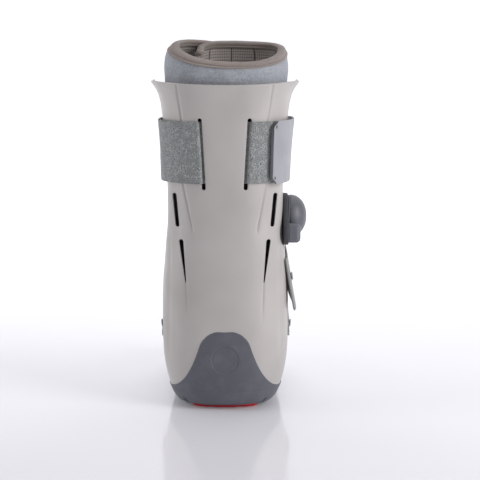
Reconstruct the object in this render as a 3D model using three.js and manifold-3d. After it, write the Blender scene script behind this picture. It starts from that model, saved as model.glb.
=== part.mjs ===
import * as THREE from 'three';
import { mergeVertices } from 'three/addons/utils/BufferGeometryUtils.js';
import Module from 'manifold-3d';

const wasm = await Module();
wasm.setup();

// Driving sizes in millimetres. X is the right of the boot seen from behind, Y points to the toe,
// Z is up. The leg's axis is X = Y = 0 and the floor is Z = 0.
const SHELL_HEIGHT = 374.5;
const SHELL_HALF_WIDTH = 68;
const SHELL_BACK = 69;
const SHELL_WALL = 3;
const RIM_RISE = 2.5;
const RIM_RISE_FROM = 0.8;
const SOLE_FRONT = 226;
const SOLE_THICK = 22;
const BASE_PLATE = 6;
const BACK_ROUNDING = 2.5;
const TOE_ROUNDING = 3.2;
const LEG_FRONT = 56;
const LINER_RISE = 49.5;
const LINER_WALL = 7;
const LINER_ROUNDING = 2.2;
const SOLE_ROUNDING = 4;
const FLAP_GAP = 1;
const RIM_FLAP_GAP = 3;
const FLAP_CURL = 22;
const BINDING_HEIGHT = 10;
const BINDING_PROUD = 0.8;
const PANEL_WALL = 3;
const PANEL_GAP = 1.2;
const PANEL_HALF_ANGLE = 56;
const PANEL_LOW = 4.6;
const PANEL_BEND = 8;
const PANEL_ENDS = [0.72, 0.92];
const STRAP_THICK = 2;
const CALF_STRAP_WIDTH = 70;
const CALF_STRAP_LEVEL = 0.797;
const CALF_STRAP_START = 104;
const CALF_STRAP_END = -232;
const SLOT_TURN = 5;
const SLOT_WIDTH = 5;
const SLOT_CLEAR = 4.5;
const SLOT_SPREAD_TOP = 28.3;
const SLOT_SPREAD_LOW = 24;
const TAB_THICK = 2.4;
const TAB_OVER_STRAP = 1;
const TAB_FRONT = 138;
const TAB_REAR = 46;
const VENT_WIDTH = 4;
const ANKLE_STRAP_WIDTH = 60;
const ANKLE_STRAP_LEVEL = 0.378;
const ANKLE_SPLAY = 8;
const ANKLE_SPLAY_FROM = 130;
const ANKLE_TILT = 0.22;
const ANKLE_START = 70;
const ANKLE_END = 236;
const ANKLE_RIVET_SHARE = 0.14;
const ANKLE_RIVET_ANGLE = 79;
const FOOT_STRAP_WIDTH = 46;
const FOOT_STRAP_PLACE = 3.45;
const FOOT_STRAP_SPREAD = 97;
const FOOT_STRAP_OFF = 3;
const FOOT_RIVET_IN = 8;
const RIVET_RADIUS = 4.8;
const RIVET_HEAD = 1.8;
const HEEL_TAB_TOP = 94;
const TAB_RECESS = 1.4;
const TAB_PROUD = 0.8;
const BADGE_RADIUS = 17;
const BADGE_DEPTH = 1;
const BADGE_LEVEL = 61;
const PAD_HALF_WIDTH = 39;
const PAD_HEIGHT = 6.5;
const PAD_FRONT = 9;
const BULB_RADIUS = 25;
const BULB_HEIGHT = 22;
const BULB_LEVEL = 0.582;
const BULB_LIP = 0.12;
const BULB_FORWARD = 15;
const POD_THICK = 3;
const POD_LIP = 2;
const DIAL_RADIUS = 12;
const DIAL_HEIGHT = 13.5;
const DIAL_DROP = 16;
const DIAL_FORWARD = -22;
const DIAL_LOBES = 3;
const DIAL_LOBE_DEPTH = 0.08;
const DIAL_BEVEL = 0.18;
const SPIGOT_RADIUS = 4;
const GAP = 0.3;
const STRAP_GAP = 0.5;

// Degrees between two columns of a band, and the liner's wrap: where it starts, ends and steps inside
const BAND_STEP = 7;
const WRAP_COLUMNS = 32;
const WRAP_START = -200;
const WRAP_END = 255;
const WRAP_STEP = [115, 158];
const WRAP_CURL_START = 190;

// Levels of the shell's plan that the liner takes as its lowest and highest, and between which the
// foot's reach gives way to the leg's
const LINER_LEVELS = [0.07, 0.93];
const REACH_LEVELS = [0.1, 0.3];

// Rear shell, one row per level: level is a share of the height above the sole, half and back are
// shares of the shell's half width and back, front is where the wall's front edge lies and reach is
// where its sides would close, as shares of the sole's front.
const SHELL_ROWS = [
  { level: 0.000, half: 0.963, back: 0.930, front: 0.90, reach: 1.00 },
  { level: 0.040, half: 1.020, back: 0.985, front: 0.89, reach: 1.00 },
  { level: 0.090, half: 1.065, back: 1.015, front: 0.80, reach: 1.00 },
  { level: 0.140, half: 1.083, back: 1.025, front: 0.62, reach: 0.98 },
  { level: 0.185, half: 1.088, back: 1.020, front: 0.46, reach: 0.94 },
  { level: 0.230, half: 1.088, back: 1.010, front: 0.32, reach: 0.86 },
  { level: 0.275, half: 1.088, back: 1.000, front: 0.225, reach: 0.76 },
  { level: 0.320, half: 1.082, back: 0.990, front: 0.175, reach: 0.66 },
  { level: 0.370, half: 1.070, back: 0.983, front: 0.185, reach: 0.58 },
  { level: 0.420, half: 1.045, back: 0.978, front: 0.195, reach: 0.54 },
  { level: 0.480, half: 1.022, back: 0.975, front: 0.200, reach: 0.52 },
  { level: 0.540, half: 0.996, back: 0.975, front: 0.200, reach: 0.52 },
  { level: 0.630, half: 0.995, back: 0.980, front: 0.175, reach: 0.52 },
  { level: 0.720, half: 1.003, back: 0.985, front: 0.146, reach: 0.52 },
  { level: 0.810, half: 1.030, back: 0.992, front: 0.142, reach: 0.53 },
  { level: 0.890, half: 1.076, back: 1.000, front: 0.140, reach: 0.54 },
  { level: 0.935, half: 1.110, back: 1.010, front: 0.135, reach: 0.56 },
  { level: 0.968, half: 1.163, back: 1.030, front: 0.128, reach: 0.60 },
  { level: 1.000, half: 1.270, back: 1.060, front: 0.115, reach: 0.66 },
];

// Liner, one row per fan section from the toe opening to the rim. back_y and front_y are shares of
// the leg's back and front room up to 1, and past that the share of the foot's length in front of
// the leg plus 1; back_z and front_z are shares of the liner's height over the base plate; half is a
// share of the room between the shell's walls, and flat is 1 where the sole side is flat.
const LINER_ROWS = [
  { back_y: 1.87, back_z: 0.012, front_y: 1.87, front_z: 0.150, half: 0.95, flat: 1 },
  { back_y: 1.56, back_z: 0.004, front_y: 1.66, front_z: 0.162, half: 0.88, flat: 1 },
  { back_y: 1.26, back_z: 0.000, front_y: 1.49, front_z: 0.172, half: 0.86, flat: 1 },
  { back_y: 0.88, back_z: 0.000, front_y: 1.33, front_z: 0.182, half: 0.87, flat: 1 },
  { back_y: -0.16, back_z: 0.000, front_y: 1.21, front_z: 0.191, half: 0.91, flat: 1 },
  { back_y: -0.84, back_z: 0.012, front_y: 1.13, front_z: 0.214, half: 0.94, flat: 0.8 },
  { back_y: -0.98, back_z: 0.080, front_y: 1.06, front_z: 0.246, half: 0.940, flat: 0.3 },
  { back_y: -0.99, back_z: 0.182, front_y: 1.02, front_z: 0.281, half: 0.95, flat: 0 },
  { back_y: -1.00, back_z: 0.284, front_y: 0.97, front_z: 0.324, half: 0.96, flat: 0 },
  { back_y: -1.00, back_z: 0.412, front_y: 0.95, front_z: 0.426, half: 0.965, flat: 0 },
  { back_y: -1.00, back_z: 0.540, front_y: 0.97, front_z: 0.553, half: 0.97, flat: 0 },
  { back_y: -1.00, back_z: 0.693, front_y: 1.00, front_z: 0.706, half: 0.97, flat: 0 },
  { back_y: -1.00, back_z: 0.821, front_y: 1.02, front_z: 0.851, half: 0.98, flat: 0 },
  { back_y: -1.02, back_z: 0.928, front_y: 1.04, front_z: 1.000, half: 0.945, flat: 0 },
];

// Outer sole, one row per level: level is a share of the sole's thickness, half, back and front are
// shares of the shell's outline at its base.
const SOLE_ROWS = [
  { level: 0.00, half: 0.72, back: 0.66, front: 0.60 },
  { level: 0.18, half: 0.84, back: 0.85, front: 0.79 },
  { level: 0.42, half: 0.92, back: 0.94, front: 0.91 },
  { level: 0.70, half: 0.97, back: 0.99, front: 0.96 },
  { level: 1.00, half: 1.005, back: 1.015, front: 1.01 },
];

// Heel tab, the height of its top edge over the shell's base by the distance from the middle:
// across is a share of the shell's half width at its base, rise a share of the tab's height.
const TAB_EDGE = [
  { across: 0.00, rise: 1.00 },
  { across: 0.20, rise: 0.99 },
  { across: 0.33, rise: 0.92 },
  { across: 0.43, rise: 0.80 },
  { across: 0.50, rise: 0.62 },
  { across: 0.58, rise: 0.44 },
  { across: 0.70, rise: 0.24 },
  { across: 0.84, rise: 0.09 },
  { across: 1.00, rise: 0.00 },
];

// Vents as seen from behind: across is a share of the shell's half width and level a share of the
// height above the sole, at the vent's top and tip.
const VENTS = [
  { top_across: 0.855, top_level: 0.650, tip_across: 0.800, tip_level: 0.544 },
  { top_across: 0.738, top_level: 0.501, tip_across: 0.655, tip_level: 0.361 },
];

const clamp = (value, low, high) => Math.min(Math.max(value, low), high);
const mix = (a, b, share) => a + (b - a) * share;
const radians = THREE.MathUtils.degToRad;
const range = (low, high, steps) => Array.from({ length: steps + 1 }, (_, i) => mix(low, high, i / steps));
const power = (value, exponent) => Math.sign(value) * Math.abs(value) ** exponent;

function smooth(low, high, value) {
  const share = clamp((value - low) / (high - low), 0, 1);
  return share * share * (3 - 2 * share);
}

// Straight interpolation in a table whose rows rise in the column named key
function lookUp(rows, key, value) {
  let i = 0;
  while (i < rows.length - 2 && rows[i + 1][key] < value) {
    i += 1;
  }
  const share = clamp((value - rows[i][key]) / (rows[i + 1][key] - rows[i][key]), 0, 1);
  const names = Object.keys(rows[i]);
  return Object.fromEntries(names.map((name) => [name, mix(rows[i][name], rows[i + 1][name], share)]));
}

// Smooth interpolation between a table's rows by row number, through every row
function glide(rows, place) {
  const last = rows.length - 1;
  const i = clamp(Math.floor(place), 0, last - 1);
  const t = clamp(place - i, 0, 1);
  const take = (name) => {
    const [a, b, c, d] = [i - 1, i, i + 1, i + 2].map((k) => rows[clamp(k, 0, last)][name]);
    return b + 0.5 * t * (c - a + t * (2 * a - 5 * b + 4 * c - d + t * (3 * (b - c) + d - a)));
  };
  return Object.fromEntries(Object.keys(rows[i]).map((name) => [name, take(name)]));
}

// A closed wall between two grids of points with the same rows and columns
function wallBetween(outer, inner) {
  const rows = outer.length;
  const columns = outer[0].length;
  const points = [...outer.flat(), ...inner.flat()];
  const faces = [];
  const quad = (a, b, c, d) => faces.push(a, b, c, a, c, d);
  const out = (r, c) => r * columns + c;
  const inn = (r, c) => rows * columns + r * columns + c;
  for (let r = 0; r < rows - 1; r += 1) {
    for (let c = 0; c < columns - 1; c += 1) {
      quad(out(r, c), out(r, c + 1), out(r + 1, c + 1), out(r + 1, c));
      quad(inn(r, c), inn(r + 1, c), inn(r + 1, c + 1), inn(r, c + 1));
    }
    quad(out(r, 0), out(r + 1, 0), inn(r + 1, 0), inn(r, 0));
    quad(out(r + 1, columns - 1), out(r, columns - 1), inn(r, columns - 1), inn(r + 1, columns - 1));
  }
  for (let c = 0; c < columns - 1; c += 1) {
    quad(out(0, c + 1), out(0, c), inn(0, c), inn(0, c + 1));
    quad(out(rows - 1, c), out(rows - 1, c + 1), inn(rows - 1, c + 1), inn(rows - 1, c));
  }
  return closedGeometry(points, faces);
}

// A closed body through rings of points, with a flat cap on the first and last ring
function bodyThrough(rings) {
  const count = rings[0].length;
  const faces = [];
  for (let r = 0; r < rings.length - 1; r += 1) {
    for (let c = 0; c < count; c += 1) {
      const d = (c + 1) % count;
      faces.push(r * count + c, r * count + d, (r + 1) * count + d);
      faces.push(r * count + c, (r + 1) * count + d, (r + 1) * count + c);
    }
  }
  const top = (rings.length - 1) * count;
  for (let c = 1; c < count - 1; c += 1) {
    faces.push(0, c + 1, c);
    faces.push(top, top + c, top + c + 1);
  }
  return closedGeometry(rings.flat(), faces);
}

// An indexed geometry, turned right side out if its faces enclose a negative volume
function closedGeometry(points, faces) {
  let volume = 0;
  for (let i = 0; i < faces.length; i += 3) {
    const [a, b, c] = [points[faces[i]], points[faces[i + 1]], points[faces[i + 2]]];
    volume += a.dot(new THREE.Vector3().crossVectors(b, c));
  }
  if (volume < 0) {
    faces.reverse();
  }
  const geometry = new THREE.BufferGeometry();
  const numbers = points.flatMap((p) => [p.x, p.y, p.z]);
  geometry.setAttribute('position', new THREE.Float32BufferAttribute(numbers, 3));
  geometry.setIndex(faces);
  return geometry;
}

function toSolid(geometry) {
  const bare = geometry.clone();
  bare.deleteAttribute('normal');
  bare.deleteAttribute('uv');
  const merged = mergeVertices(bare, 1e-4);
  return new wasm.Manifold(new wasm.Mesh({
    numProp: 3,
    vertProperties: new Float32Array(merged.attributes.position.array),
    triVerts: new Uint32Array(merged.index.array),
  }));
}

function fromSolid(solid) {
  const mesh = solid.getMesh();
  const geometry = new THREE.BufferGeometry();
  geometry.setAttribute('position', new THREE.Float32BufferAttribute(mesh.vertProperties, 3));
  geometry.setIndex([...mesh.triVerts]);
  return geometry;
}

// A flat outline drawn in X and Z, carried along Y from near to far
function alongY(outline, near, far) {
  const shape = new THREE.Shape(outline.map(([x, z]) => new THREE.Vector2(x, z)));
  const geometry = new THREE.ExtrudeGeometry(shape, { depth: far - near, bevelEnabled: false });
  geometry.rotateX(Math.PI / 2);
  geometry.translate(0, far, 0);
  return geometry;
}

// The outline of a slot with round ends between two points
function slotOutline([x0, z0], [x1, z1], width, steps = 3) {
  const heading = Math.atan2(z1 - z0, x1 - x0);
  const outline = [];
  for (const [x, z, turn] of [[x1, z1, -Math.PI / 2], [x0, z0, Math.PI / 2]]) {
    for (let i = 0; i <= steps; i += 1) {
      const angle = heading + turn + Math.PI * i / steps;
      outline.push([x + width / 2 * Math.cos(angle), z + width / 2 * Math.sin(angle)]);
    }
  }
  return outline;
}

const shellRise = SHELL_HEIGHT - SOLE_THICK;
const shellLevel = (z) => (z - SOLE_THICK) / shellRise;

// Sizes of the shell's plan at a height: half width, back, front edge and reach in millimetres
function shellPlan(z) {
  const row = lookUp(SHELL_ROWS, 'level', shellLevel(z));
  return {
    half: row.half * SHELL_HALF_WIDTH,
    back: row.back * SHELL_BACK,
    front: row.front * SOLE_FRONT,
    reach: row.reach * SOLE_FRONT,
  };
}

// The plan's half width at a place y: a rounded back, and sides that close towards the reach
function sideAt(plan, y, offset = 0) {
  const half = plan.half + offset;
  if (y < 0) {
    const share = clamp(-y / (plan.back + offset), 0, 1);
    return half * (1 - share ** BACK_ROUNDING) ** (1 / BACK_ROUNDING);
  }
  const share = clamp(y / plan.reach, 0, 1);
  return half * (1 - share ** TOE_ROUNDING) ** (1 / TOE_ROUNDING);
}

// How far behind the leg's axis the plan's back lies at a distance x from the middle
function backAt(plan, x, offset = 0) {
  const share = clamp(Math.abs(x) / (plan.half + offset), 0, 1);
  return (plan.back + offset) * (1 - share ** BACK_ROUNDING) ** (1 / BACK_ROUNDING);
}

const BACK_COLUMNS = 18;
const SIDE_COLUMNS = 6;

// Plan points from the left front edge round the back to the right front edge
function shellRow(plan, offset) {
  const points = [];
  for (let i = SIDE_COLUMNS; i > 0; i -= 1) {
    const y = plan.front * i / SIDE_COLUMNS;
    points.push([-sideAt(plan, y, offset), y]);
  }
  for (let i = 0; i <= BACK_COLUMNS; i += 1) {
    const angle = radians(-90 + 180 * i / BACK_COLUMNS);
    const x = (plan.half + offset) * power(Math.sin(angle), 2 / BACK_ROUNDING);
    const y = -(plan.back + offset) * Math.max(Math.cos(angle), 0) ** (2 / BACK_ROUNDING);
    points.push([x, y]);
  }
  for (let i = 1; i <= SIDE_COLUMNS; i += 1) {
    const y = plan.front * i / SIDE_COLUMNS;
    points.push([sideAt(plan, y, offset), y]);
  }
  return points;
}

// The shell's wall surface at an offset from its outside; the rim rises to both sides
function shellSurface(offset) {
  return SHELL_ROWS.map((row) => {
    const z = SOLE_THICK + row.level * shellRise;
    const plan = shellPlan(z);
    const lift = RIM_RISE * smooth(RIM_RISE_FROM, 1, row.level);
    return shellRow(plan, offset).map(([x, y]) => {
      const aside = clamp(Math.abs(x) / plan.half, 0, 1);
      return new THREE.Vector3(x, y, z + lift * aside ** 2);
    });
  });
}

// The closed plan outline of the foot at the shell's base, scaled for the sole's rows
function footOutline(halfShare, backShare, frontShare) {
  const plan = shellPlan(SOLE_THICK);
  const half = plan.half * halfShare;
  const points = [];
  const steps = 12;
  for (let i = 0; i < 2 * steps; i += 1) {
    const angle = radians(-90 + 180 * i / steps);
    const behind = i <= steps;
    const rounding = behind ? BACK_ROUNDING : TOE_ROUNDING;
    const length = behind ? plan.back * backShare : plan.reach * frontShare;
    const x = half * power(Math.sin(angle), 2 / rounding);
    points.push([x, -length * power(Math.cos(angle), 2 / rounding)]);
  }
  return points;
}

function slab(outline, low, high) {
  return bodyThrough([low, high].map((z) => outline.map(([x, y]) => new THREE.Vector3(x, y, z))));
}

// The heel tab's wall between two offsets from the shell's outside, from a low level up to its edge
function tabWall(inside, outside, low, margin) {
  const columns = 2 * BACK_COLUMNS;
  const base = shellPlan(SOLE_THICK);
  const rise = HEEL_TAB_TOP - SOLE_THICK;
  const grid = (offset) => [-1, 0, 0.33, 0.67, 1].map((share) => (
    range(-90, 90, columns).map((angle) => {
      const across = power(Math.sin(radians(angle)), 2 / BACK_ROUNDING);
      const edge = rise * lookUp(TAB_EDGE, 'across', Math.abs(across)).rise + margin;
      const z = share < 0 ? low : SOLE_THICK + edge * share;
      const x = across * (base.half + offset);
      return new THREE.Vector3(x, -backAt(shellPlan(Math.max(z, SOLE_THICK)), x, offset), z);
    })));
  return wallBetween(grid(outside), grid(inside));
}

const strapMiddle = SHELL_HEIGHT * CALF_STRAP_LEVEL;
const strapLow = strapMiddle - CALF_STRAP_WIDTH / 2;
const strapHigh = strapMiddle + CALF_STRAP_WIDTH / 2;
const slotAt = (z) => mix(SLOT_SPREAD_LOW, SLOT_SPREAD_TOP, (z - strapLow) / CALF_STRAP_WIDTH);

function makeRearShell() {
  let shell = toSolid(wallBetween(shellSurface(0), shellSurface(-SHELL_WALL)));
  shell = shell.add(toSolid(slab(footOutline(1, 1, 1), SOLE_THICK, SOLE_THICK + BASE_PLATE)));
  shell = shell.subtract(toSolid(tabWall(-TAB_RECESS - GAP, TAB_PROUD + 2 * GAP, 0, 3 * GAP)));
  const behind = -2 * SHELL_BACK;
  const slotLow = strapLow - SLOT_CLEAR;
  const slotHigh = strapHigh + SLOT_CLEAR;
  for (const side of [-1, 1]) {
    const [low, high] = [slotLow, slotHigh].map((z) => [side * slotAt(z), z]);
    const slot = slotOutline(low, high, SLOT_WIDTH);
    shell = shell.subtract(toSolid(alongY(slot, behind, 0)));
    for (const vent of VENTS) {
      const place = (across, level) => [
        side * across * SHELL_HALF_WIDTH,
        SOLE_THICK + level * shellRise,
      ];
      const top = place(vent.top_across, vent.top_level);
      const tip = place(vent.tip_across, vent.tip_level);
      shell = shell.subtract(toSolid(alongY(slotOutline(tip, top, VENT_WIDTH), behind, 0)));
    }
  }
  return fromSolid(shell);
}

// The hull of the outer sole, drawn in by a clearance
function soleHull(clear) {
  const base = shellPlan(SOLE_THICK);
  return bodyThrough(SOLE_ROWS.map((row) => {
    const z = row.level * (SOLE_THICK - GAP);
    const outline = footOutline(row.half - clear / base.half, row.back - clear / base.back, row.front);
    return outline.map(([x, y]) => new THREE.Vector3(x, y, z));
  }));
}

function padBlock(clear) {
  const deep = 2 * SHELL_BACK;
  const block = new THREE.BoxGeometry(2 * (PAD_HALF_WIDTH - clear), deep, 2 * (PAD_HEIGHT - clear));
  block.translate(0, -PAD_FRONT - clear - deep / 2, 0);
  return toSolid(block);
}

// The block round the shell's floor that is cut away is wider than the floor by this share
const AROUND = 1.2;

function makeOutsole() {
  let sole = toSolid(soleHull(0));
  sole = sole.add(toSolid(tabWall(-TAB_RECESS, TAB_PROUD, SOLE_THICK * 0.5, 0)));
  const base = toSolid(slab(footOutline(AROUND, AROUND, AROUND), SOLE_THICK - GAP, SOLE_THICK + BASE_PLATE));
  const inside = toSolid(slab(footOutline(1, 1, 1), SOLE_THICK - GAP, SOLE_THICK + BASE_PLATE));
  const heelGuard = base.intersect(toSolid(tabWall(-TAB_RECESS, TAB_PROUD, 0, 0)));
  sole = sole.subtract(inside.subtract(heelGuard));
  sole = sole.subtract(padBlock(0));
  const badge = new THREE.CylinderGeometry(BADGE_RADIUS, BADGE_RADIUS, 2 * SHELL_WALL, 20);
  const badgeFloor = shellPlan(BADGE_LEVEL).back + TAB_PROUD - BADGE_DEPTH;
  badge.translate(0, -badgeFloor - SHELL_WALL, BADGE_LEVEL);
  return fromSolid(sole.subtract(toSolid(badge)));
}

function makeHeelPad() {
  return fromSolid(toSolid(soleHull(0)).intersect(padBlock(GAP)));
}

const footFloor = SOLE_THICK + BASE_PLATE + 3 * GAP;
const linerHeight = SHELL_HEIGHT + LINER_RISE - footFloor;
const backRoom = (z) => shellPlan(z).back - SHELL_WALL - STRAP_THICK - 2 * STRAP_GAP;

// A length along the foot from a share: up to 1 it is a share of the leg's room, past that the
// share of the foot in front of the leg plus 1
function alongFoot(share, room) {
  if (Math.abs(share) <= 1) {
    return share * room;
  }
  return Math.sign(share) * (room + (Math.abs(share) - 1) * (SOLE_FRONT - room));
}

const RIM_PLACE = LINER_ROWS.length - 1;

// A point of the liner at a place between its fan sections, an angle round the section (0 at the
// back, 90 right, 180 front) and an offset from its outside
function linerPoint(place, angle, offset) {
  const row = glide(LINER_ROWS, place);
  const backZ = footFloor + row.back_z * linerHeight;
  const frontZ = footFloor + row.front_z * linerHeight;
  const [lowest, flare] = LINER_LEVELS.map((level) => SOLE_THICK + level * shellRise);
  const room = backRoom(Math.min(backZ, flare));
  const backY = row.back_y < 0 ? row.back_y * room : alongFoot(row.back_y, LEG_FRONT);
  const frontY = alongFoot(row.front_y, LEG_FRONT);
  const middle = (backY + frontY) / 2;
  const level = clamp((backZ + frontZ) / 2, lowest, flare);
  const plan = shellPlan(level);
  plan.reach = mix(SOLE_FRONT, plan.reach, smooth(...REACH_LEVELS, shellLevel(level)));
  const half = row.half * (sideAt(plan, middle > 0 ? middle : 0) - SHELL_WALL) + offset;
  const length = Math.hypot(frontY - backY, frontZ - backZ);
  const [uy, uz] = [(frontY - backY) / length, (frontZ - backZ) / length];
  const behind = Math.cos(radians(angle)) > 0;
  const rounding = behind ? mix(LINER_ROUNDING, SOLE_ROUNDING, clamp(row.flat, 0, 1)) : LINER_ROUNDING;
  const along = -(length / 2 + offset) * power(Math.cos(radians(angle)), 2 / rounding);
  const x = half * power(Math.sin(radians(angle)), 2 / rounding);
  return new THREE.Vector3(x, middle + along * uy, (backZ + frontZ) / 2 + along * uz);
}

// How far the wrap lies inside the liner's outside: nothing on the outer turn, a wall and a gap where
// it goes under the outer flap, and more at the rim, where the flap's end curls into the leg's room
function wrapInset(angle, place) {
  const rim = smooth(RIM_PLACE - 2.5, RIM_PLACE, place);
  const under = smooth(WRAP_STEP[0], WRAP_STEP[1], angle);
  const curl = smooth(WRAP_CURL_START, WRAP_END, angle) * FLAP_CURL * rim;
  return under * (LINER_WALL + mix(FLAP_GAP, RIM_FLAP_GAP, rim)) + curl;
}

function wrapGrid(places, columns, depth) {
  return places.map((place) => {
    const row = [];
    for (let i = 0; i <= columns; i += 1) {
      const angle = mix(WRAP_START, WRAP_END, i / columns);
      row.push(linerPoint(place, angle, -wrapInset(angle, place) - depth));
    }
    return row;
  });
}

const rimRow = LINER_ROWS[RIM_PLACE];
const belowRim = LINER_ROWS[RIM_PLACE - 1];
const rimSpacing = (rimRow.back_z + rimRow.front_z - belowRim.back_z - belowRim.front_z) / 2 * linerHeight;
const bindingStart = RIM_PLACE - BINDING_HEIGHT / rimSpacing;
const toeSpacing = SOLE_FRONT * 0.2;
const toeBindingEnd = BINDING_HEIGHT / toeSpacing;

function makeLiner() {
  const start = toeBindingEnd + GAP / toeSpacing;
  const end = bindingStart - GAP / rimSpacing;
  const places = [start, ...range(1, RIM_PLACE - 1, 16).filter((p) => p > start), RIM_PLACE - 0.6, end];
  return wallBetween(wrapGrid(places, WRAP_COLUMNS, 0), wrapGrid(places, WRAP_COLUMNS, LINER_WALL));
}

function makeBinding(places) {
  const outer = wrapGrid(places, WRAP_COLUMNS, -BINDING_PROUD);
  const inner = wrapGrid(places, WRAP_COLUMNS, LINER_WALL + BINDING_PROUD);
  return wallBetween(outer, inner);
}

// The shin panel lies on the liner's front, from the instep to below the rim
function panelPoint(place, share, offset) {
  return linerPoint(place, 180 + PANEL_HALF_ANGLE * share, offset + PANEL_GAP);
}

const PANEL_HIGH = RIM_PLACE - 0.9;

function makeFrontShell() {
  const places = [...range(PANEL_LOW, PANEL_BEND, 10), ...range(PANEL_BEND, PANEL_HIGH, 8).slice(1)];
  const grid = (offset) => places.map((place, i) => {
    const width = PANEL_ENDS[Math.min(i, places.length - 1 - i)] ?? 1;
    return range(-width, width, 10).map((share) => panelPoint(place, share, offset));
  });
  return wallBetween(grid(PANEL_WALL), grid(0));
}

// The place between the liner's fan sections whose point at an angle and offset has height z
function placeAt(z, angle, offset) {
  let low = PANEL_LOW;
  let high = RIM_PLACE;
  for (let i = 0; i < 24; i += 1) {
    const middle = (low + high) / 2;
    if (linerPoint(middle, angle, offset).z < z) {
      low = middle;
    } else {
      high = middle;
    }
  }
  return (low + high) / 2;
}

// A taut band takes the convex outline of what it goes round. This gives that outline's edges, each
// by its outward normal and its distance from a centre.
function hullEdges(points, [cx, cy]) {
  const sorted = points.map(([x, y]) => [x - cx, y - cy]).sort((a, b) => a[0] - b[0] || a[1] - b[1]);
  const turn = (o, a, b) => (a[0] - o[0]) * (b[1] - o[1]) - (a[1] - o[1]) * (b[0] - o[0]);
  const half = (list) => {
    const chain = [];
    for (const p of list) {
      while (chain.length > 1 && turn(chain.at(-2), chain.at(-1), p) <= 0) {
        chain.pop();
      }
      chain.push(p);
    }
    return chain.slice(0, -1);
  };
  const hull = [...half(sorted), ...half(sorted.slice().reverse())];
  return hull.map((a, i) => {
    const b = hull[(i + 1) % hull.length];
    const length = Math.hypot(b[0] - a[0], b[1] - a[1]);
    const [nx, ny] = [(b[1] - a[1]) / length, (a[0] - b[0]) / length];
    return { nx, ny, reach: nx * a[0] + ny * a[1] };
  });
}

// The point of such an outline, pushed out by an offset, at an angle round its centre (0 at -Y). The
// largest distance within a step to both sides keeps straight stretches of the band off corners.
function girdlePoint(edges, angle, offset) {
  const radius = Math.max(...range(-BAND_STEP / 2, BAND_STEP / 2, 4).map((aside) => {
    const [dx, dy] = [Math.sin(radians(angle + aside)), -Math.cos(radians(angle + aside))];
    return Math.min(...edges
      .filter((edge) => edge.nx * dx + edge.ny * dy > 1e-6)
      .map((edge) => (edge.reach + offset) / (edge.nx * dx + edge.ny * dy)));
  }));
  return [radius * Math.sin(radians(angle)), -radius * Math.cos(radians(angle))];
}

const panelFace = PANEL_GAP + PANEL_WALL;

// The leg's outline at a height: the shell's wall and the shin panel, or only the wall's right side
function legEdges(z, rightOnly = false) {
  const points = shellRow(shellPlan(z), 0).filter(([x]) => !rightOnly || x > 0);
  for (const angle of range(180 - PANEL_HALF_ANGLE, 180 + PANEL_HALF_ANGLE, 12)) {
    const p = linerPoint(placeAt(z, angle, panelFace), angle, panelFace);
    points.push([p.x, p.y]);
  }
  return hullEdges(points, [0, 0]);
}

// A band along plan paths, one per level, with its thickness to both sides of the path
function bandAlong(paths, levels, thick) {
  const side = (sign) => paths.map((path, r) => path.map(([x, y], i) => {
    const before = path[Math.max(i - 1, 0)];
    const after = path[Math.min(i + 1, path.length - 1)];
    const d1 = new THREE.Vector2(x - before[0], y - before[1]).normalize();
    const d2 = new THREE.Vector2(after[0] - x, after[1] - y).normalize();
    const first = i === 0 ? d2 : d1;
    const second = i === path.length - 1 ? d1 : d2;
    const normal = new THREE.Vector2(-first.y - second.y, first.x + second.x).normalize();
    const mitre = Math.max(normal.dot(new THREE.Vector2(-first.y, first.x)), 0.5);
    normal.multiplyScalar(sign * thick / 2 / mitre);
    return new THREE.Vector3(x + normal.x, y + normal.y, levels[r][i] ?? levels[r][0]);
  }));
  return wallBetween(side(1), side(-1));
}

const LAYER = STRAP_GAP + STRAP_THICK / 2;
const bandAngles = (from, to) => range(from, to, Math.ceil(Math.abs(to - from) / BAND_STEP));

// The calf strap's plan path at a height: from the right side back to the right slot, inside behind
// the leg to the left slot, and round the left side and the shin to the right
function calfPath(z) {
  const edges = legEdges(z);
  const plan = shellPlan(z);
  const slot = slotAt(z);
  const slotAngle = THREE.MathUtils.radToDeg(Math.atan2(SLOT_SPREAD_TOP, SHELL_BACK)) + SLOT_TURN;
  const around = (from, to) => bandAngles(from, to).map((angle) => girdlePoint(edges, angle, LAYER));
  const inner = (x) => -backAt(plan, x, -SHELL_WALL) + LAYER;
  const outside = -backAt(plan, slot) - LAYER;
  const inside = range(slot, -slot, 6).map((x) => [x, inner(x)]);
  const right = around(CALF_STRAP_START, slotAngle);
  const left = around(-slotAngle, CALF_STRAP_END);
  return [...right, [slot, outside], ...inside, [-slot, outside], ...left];
}

function makeCalfStrap() {
  const levels = range(strapLow, strapHigh, 2);
  return bandAlong(levels.map(calfPath), levels.map((z) => [z]), STRAP_THICK);
}

function makeCalfTab() {
  const levels = range(strapLow - TAB_OVER_STRAP, strapHigh + TAB_OVER_STRAP, 2);
  const offset = 2 * STRAP_GAP + STRAP_THICK + TAB_THICK / 2;
  const paths = levels.map((z) => {
    const edges = legEdges(z);
    return bandAngles(TAB_FRONT, TAB_REAR).map((angle) => girdlePoint(edges, angle, offset));
  });
  return bandAlong(paths, levels.map((z) => [z]), TAB_THICK);
}

const ankleMiddle = SHELL_HEIGHT * ANKLE_STRAP_LEVEL;

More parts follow.
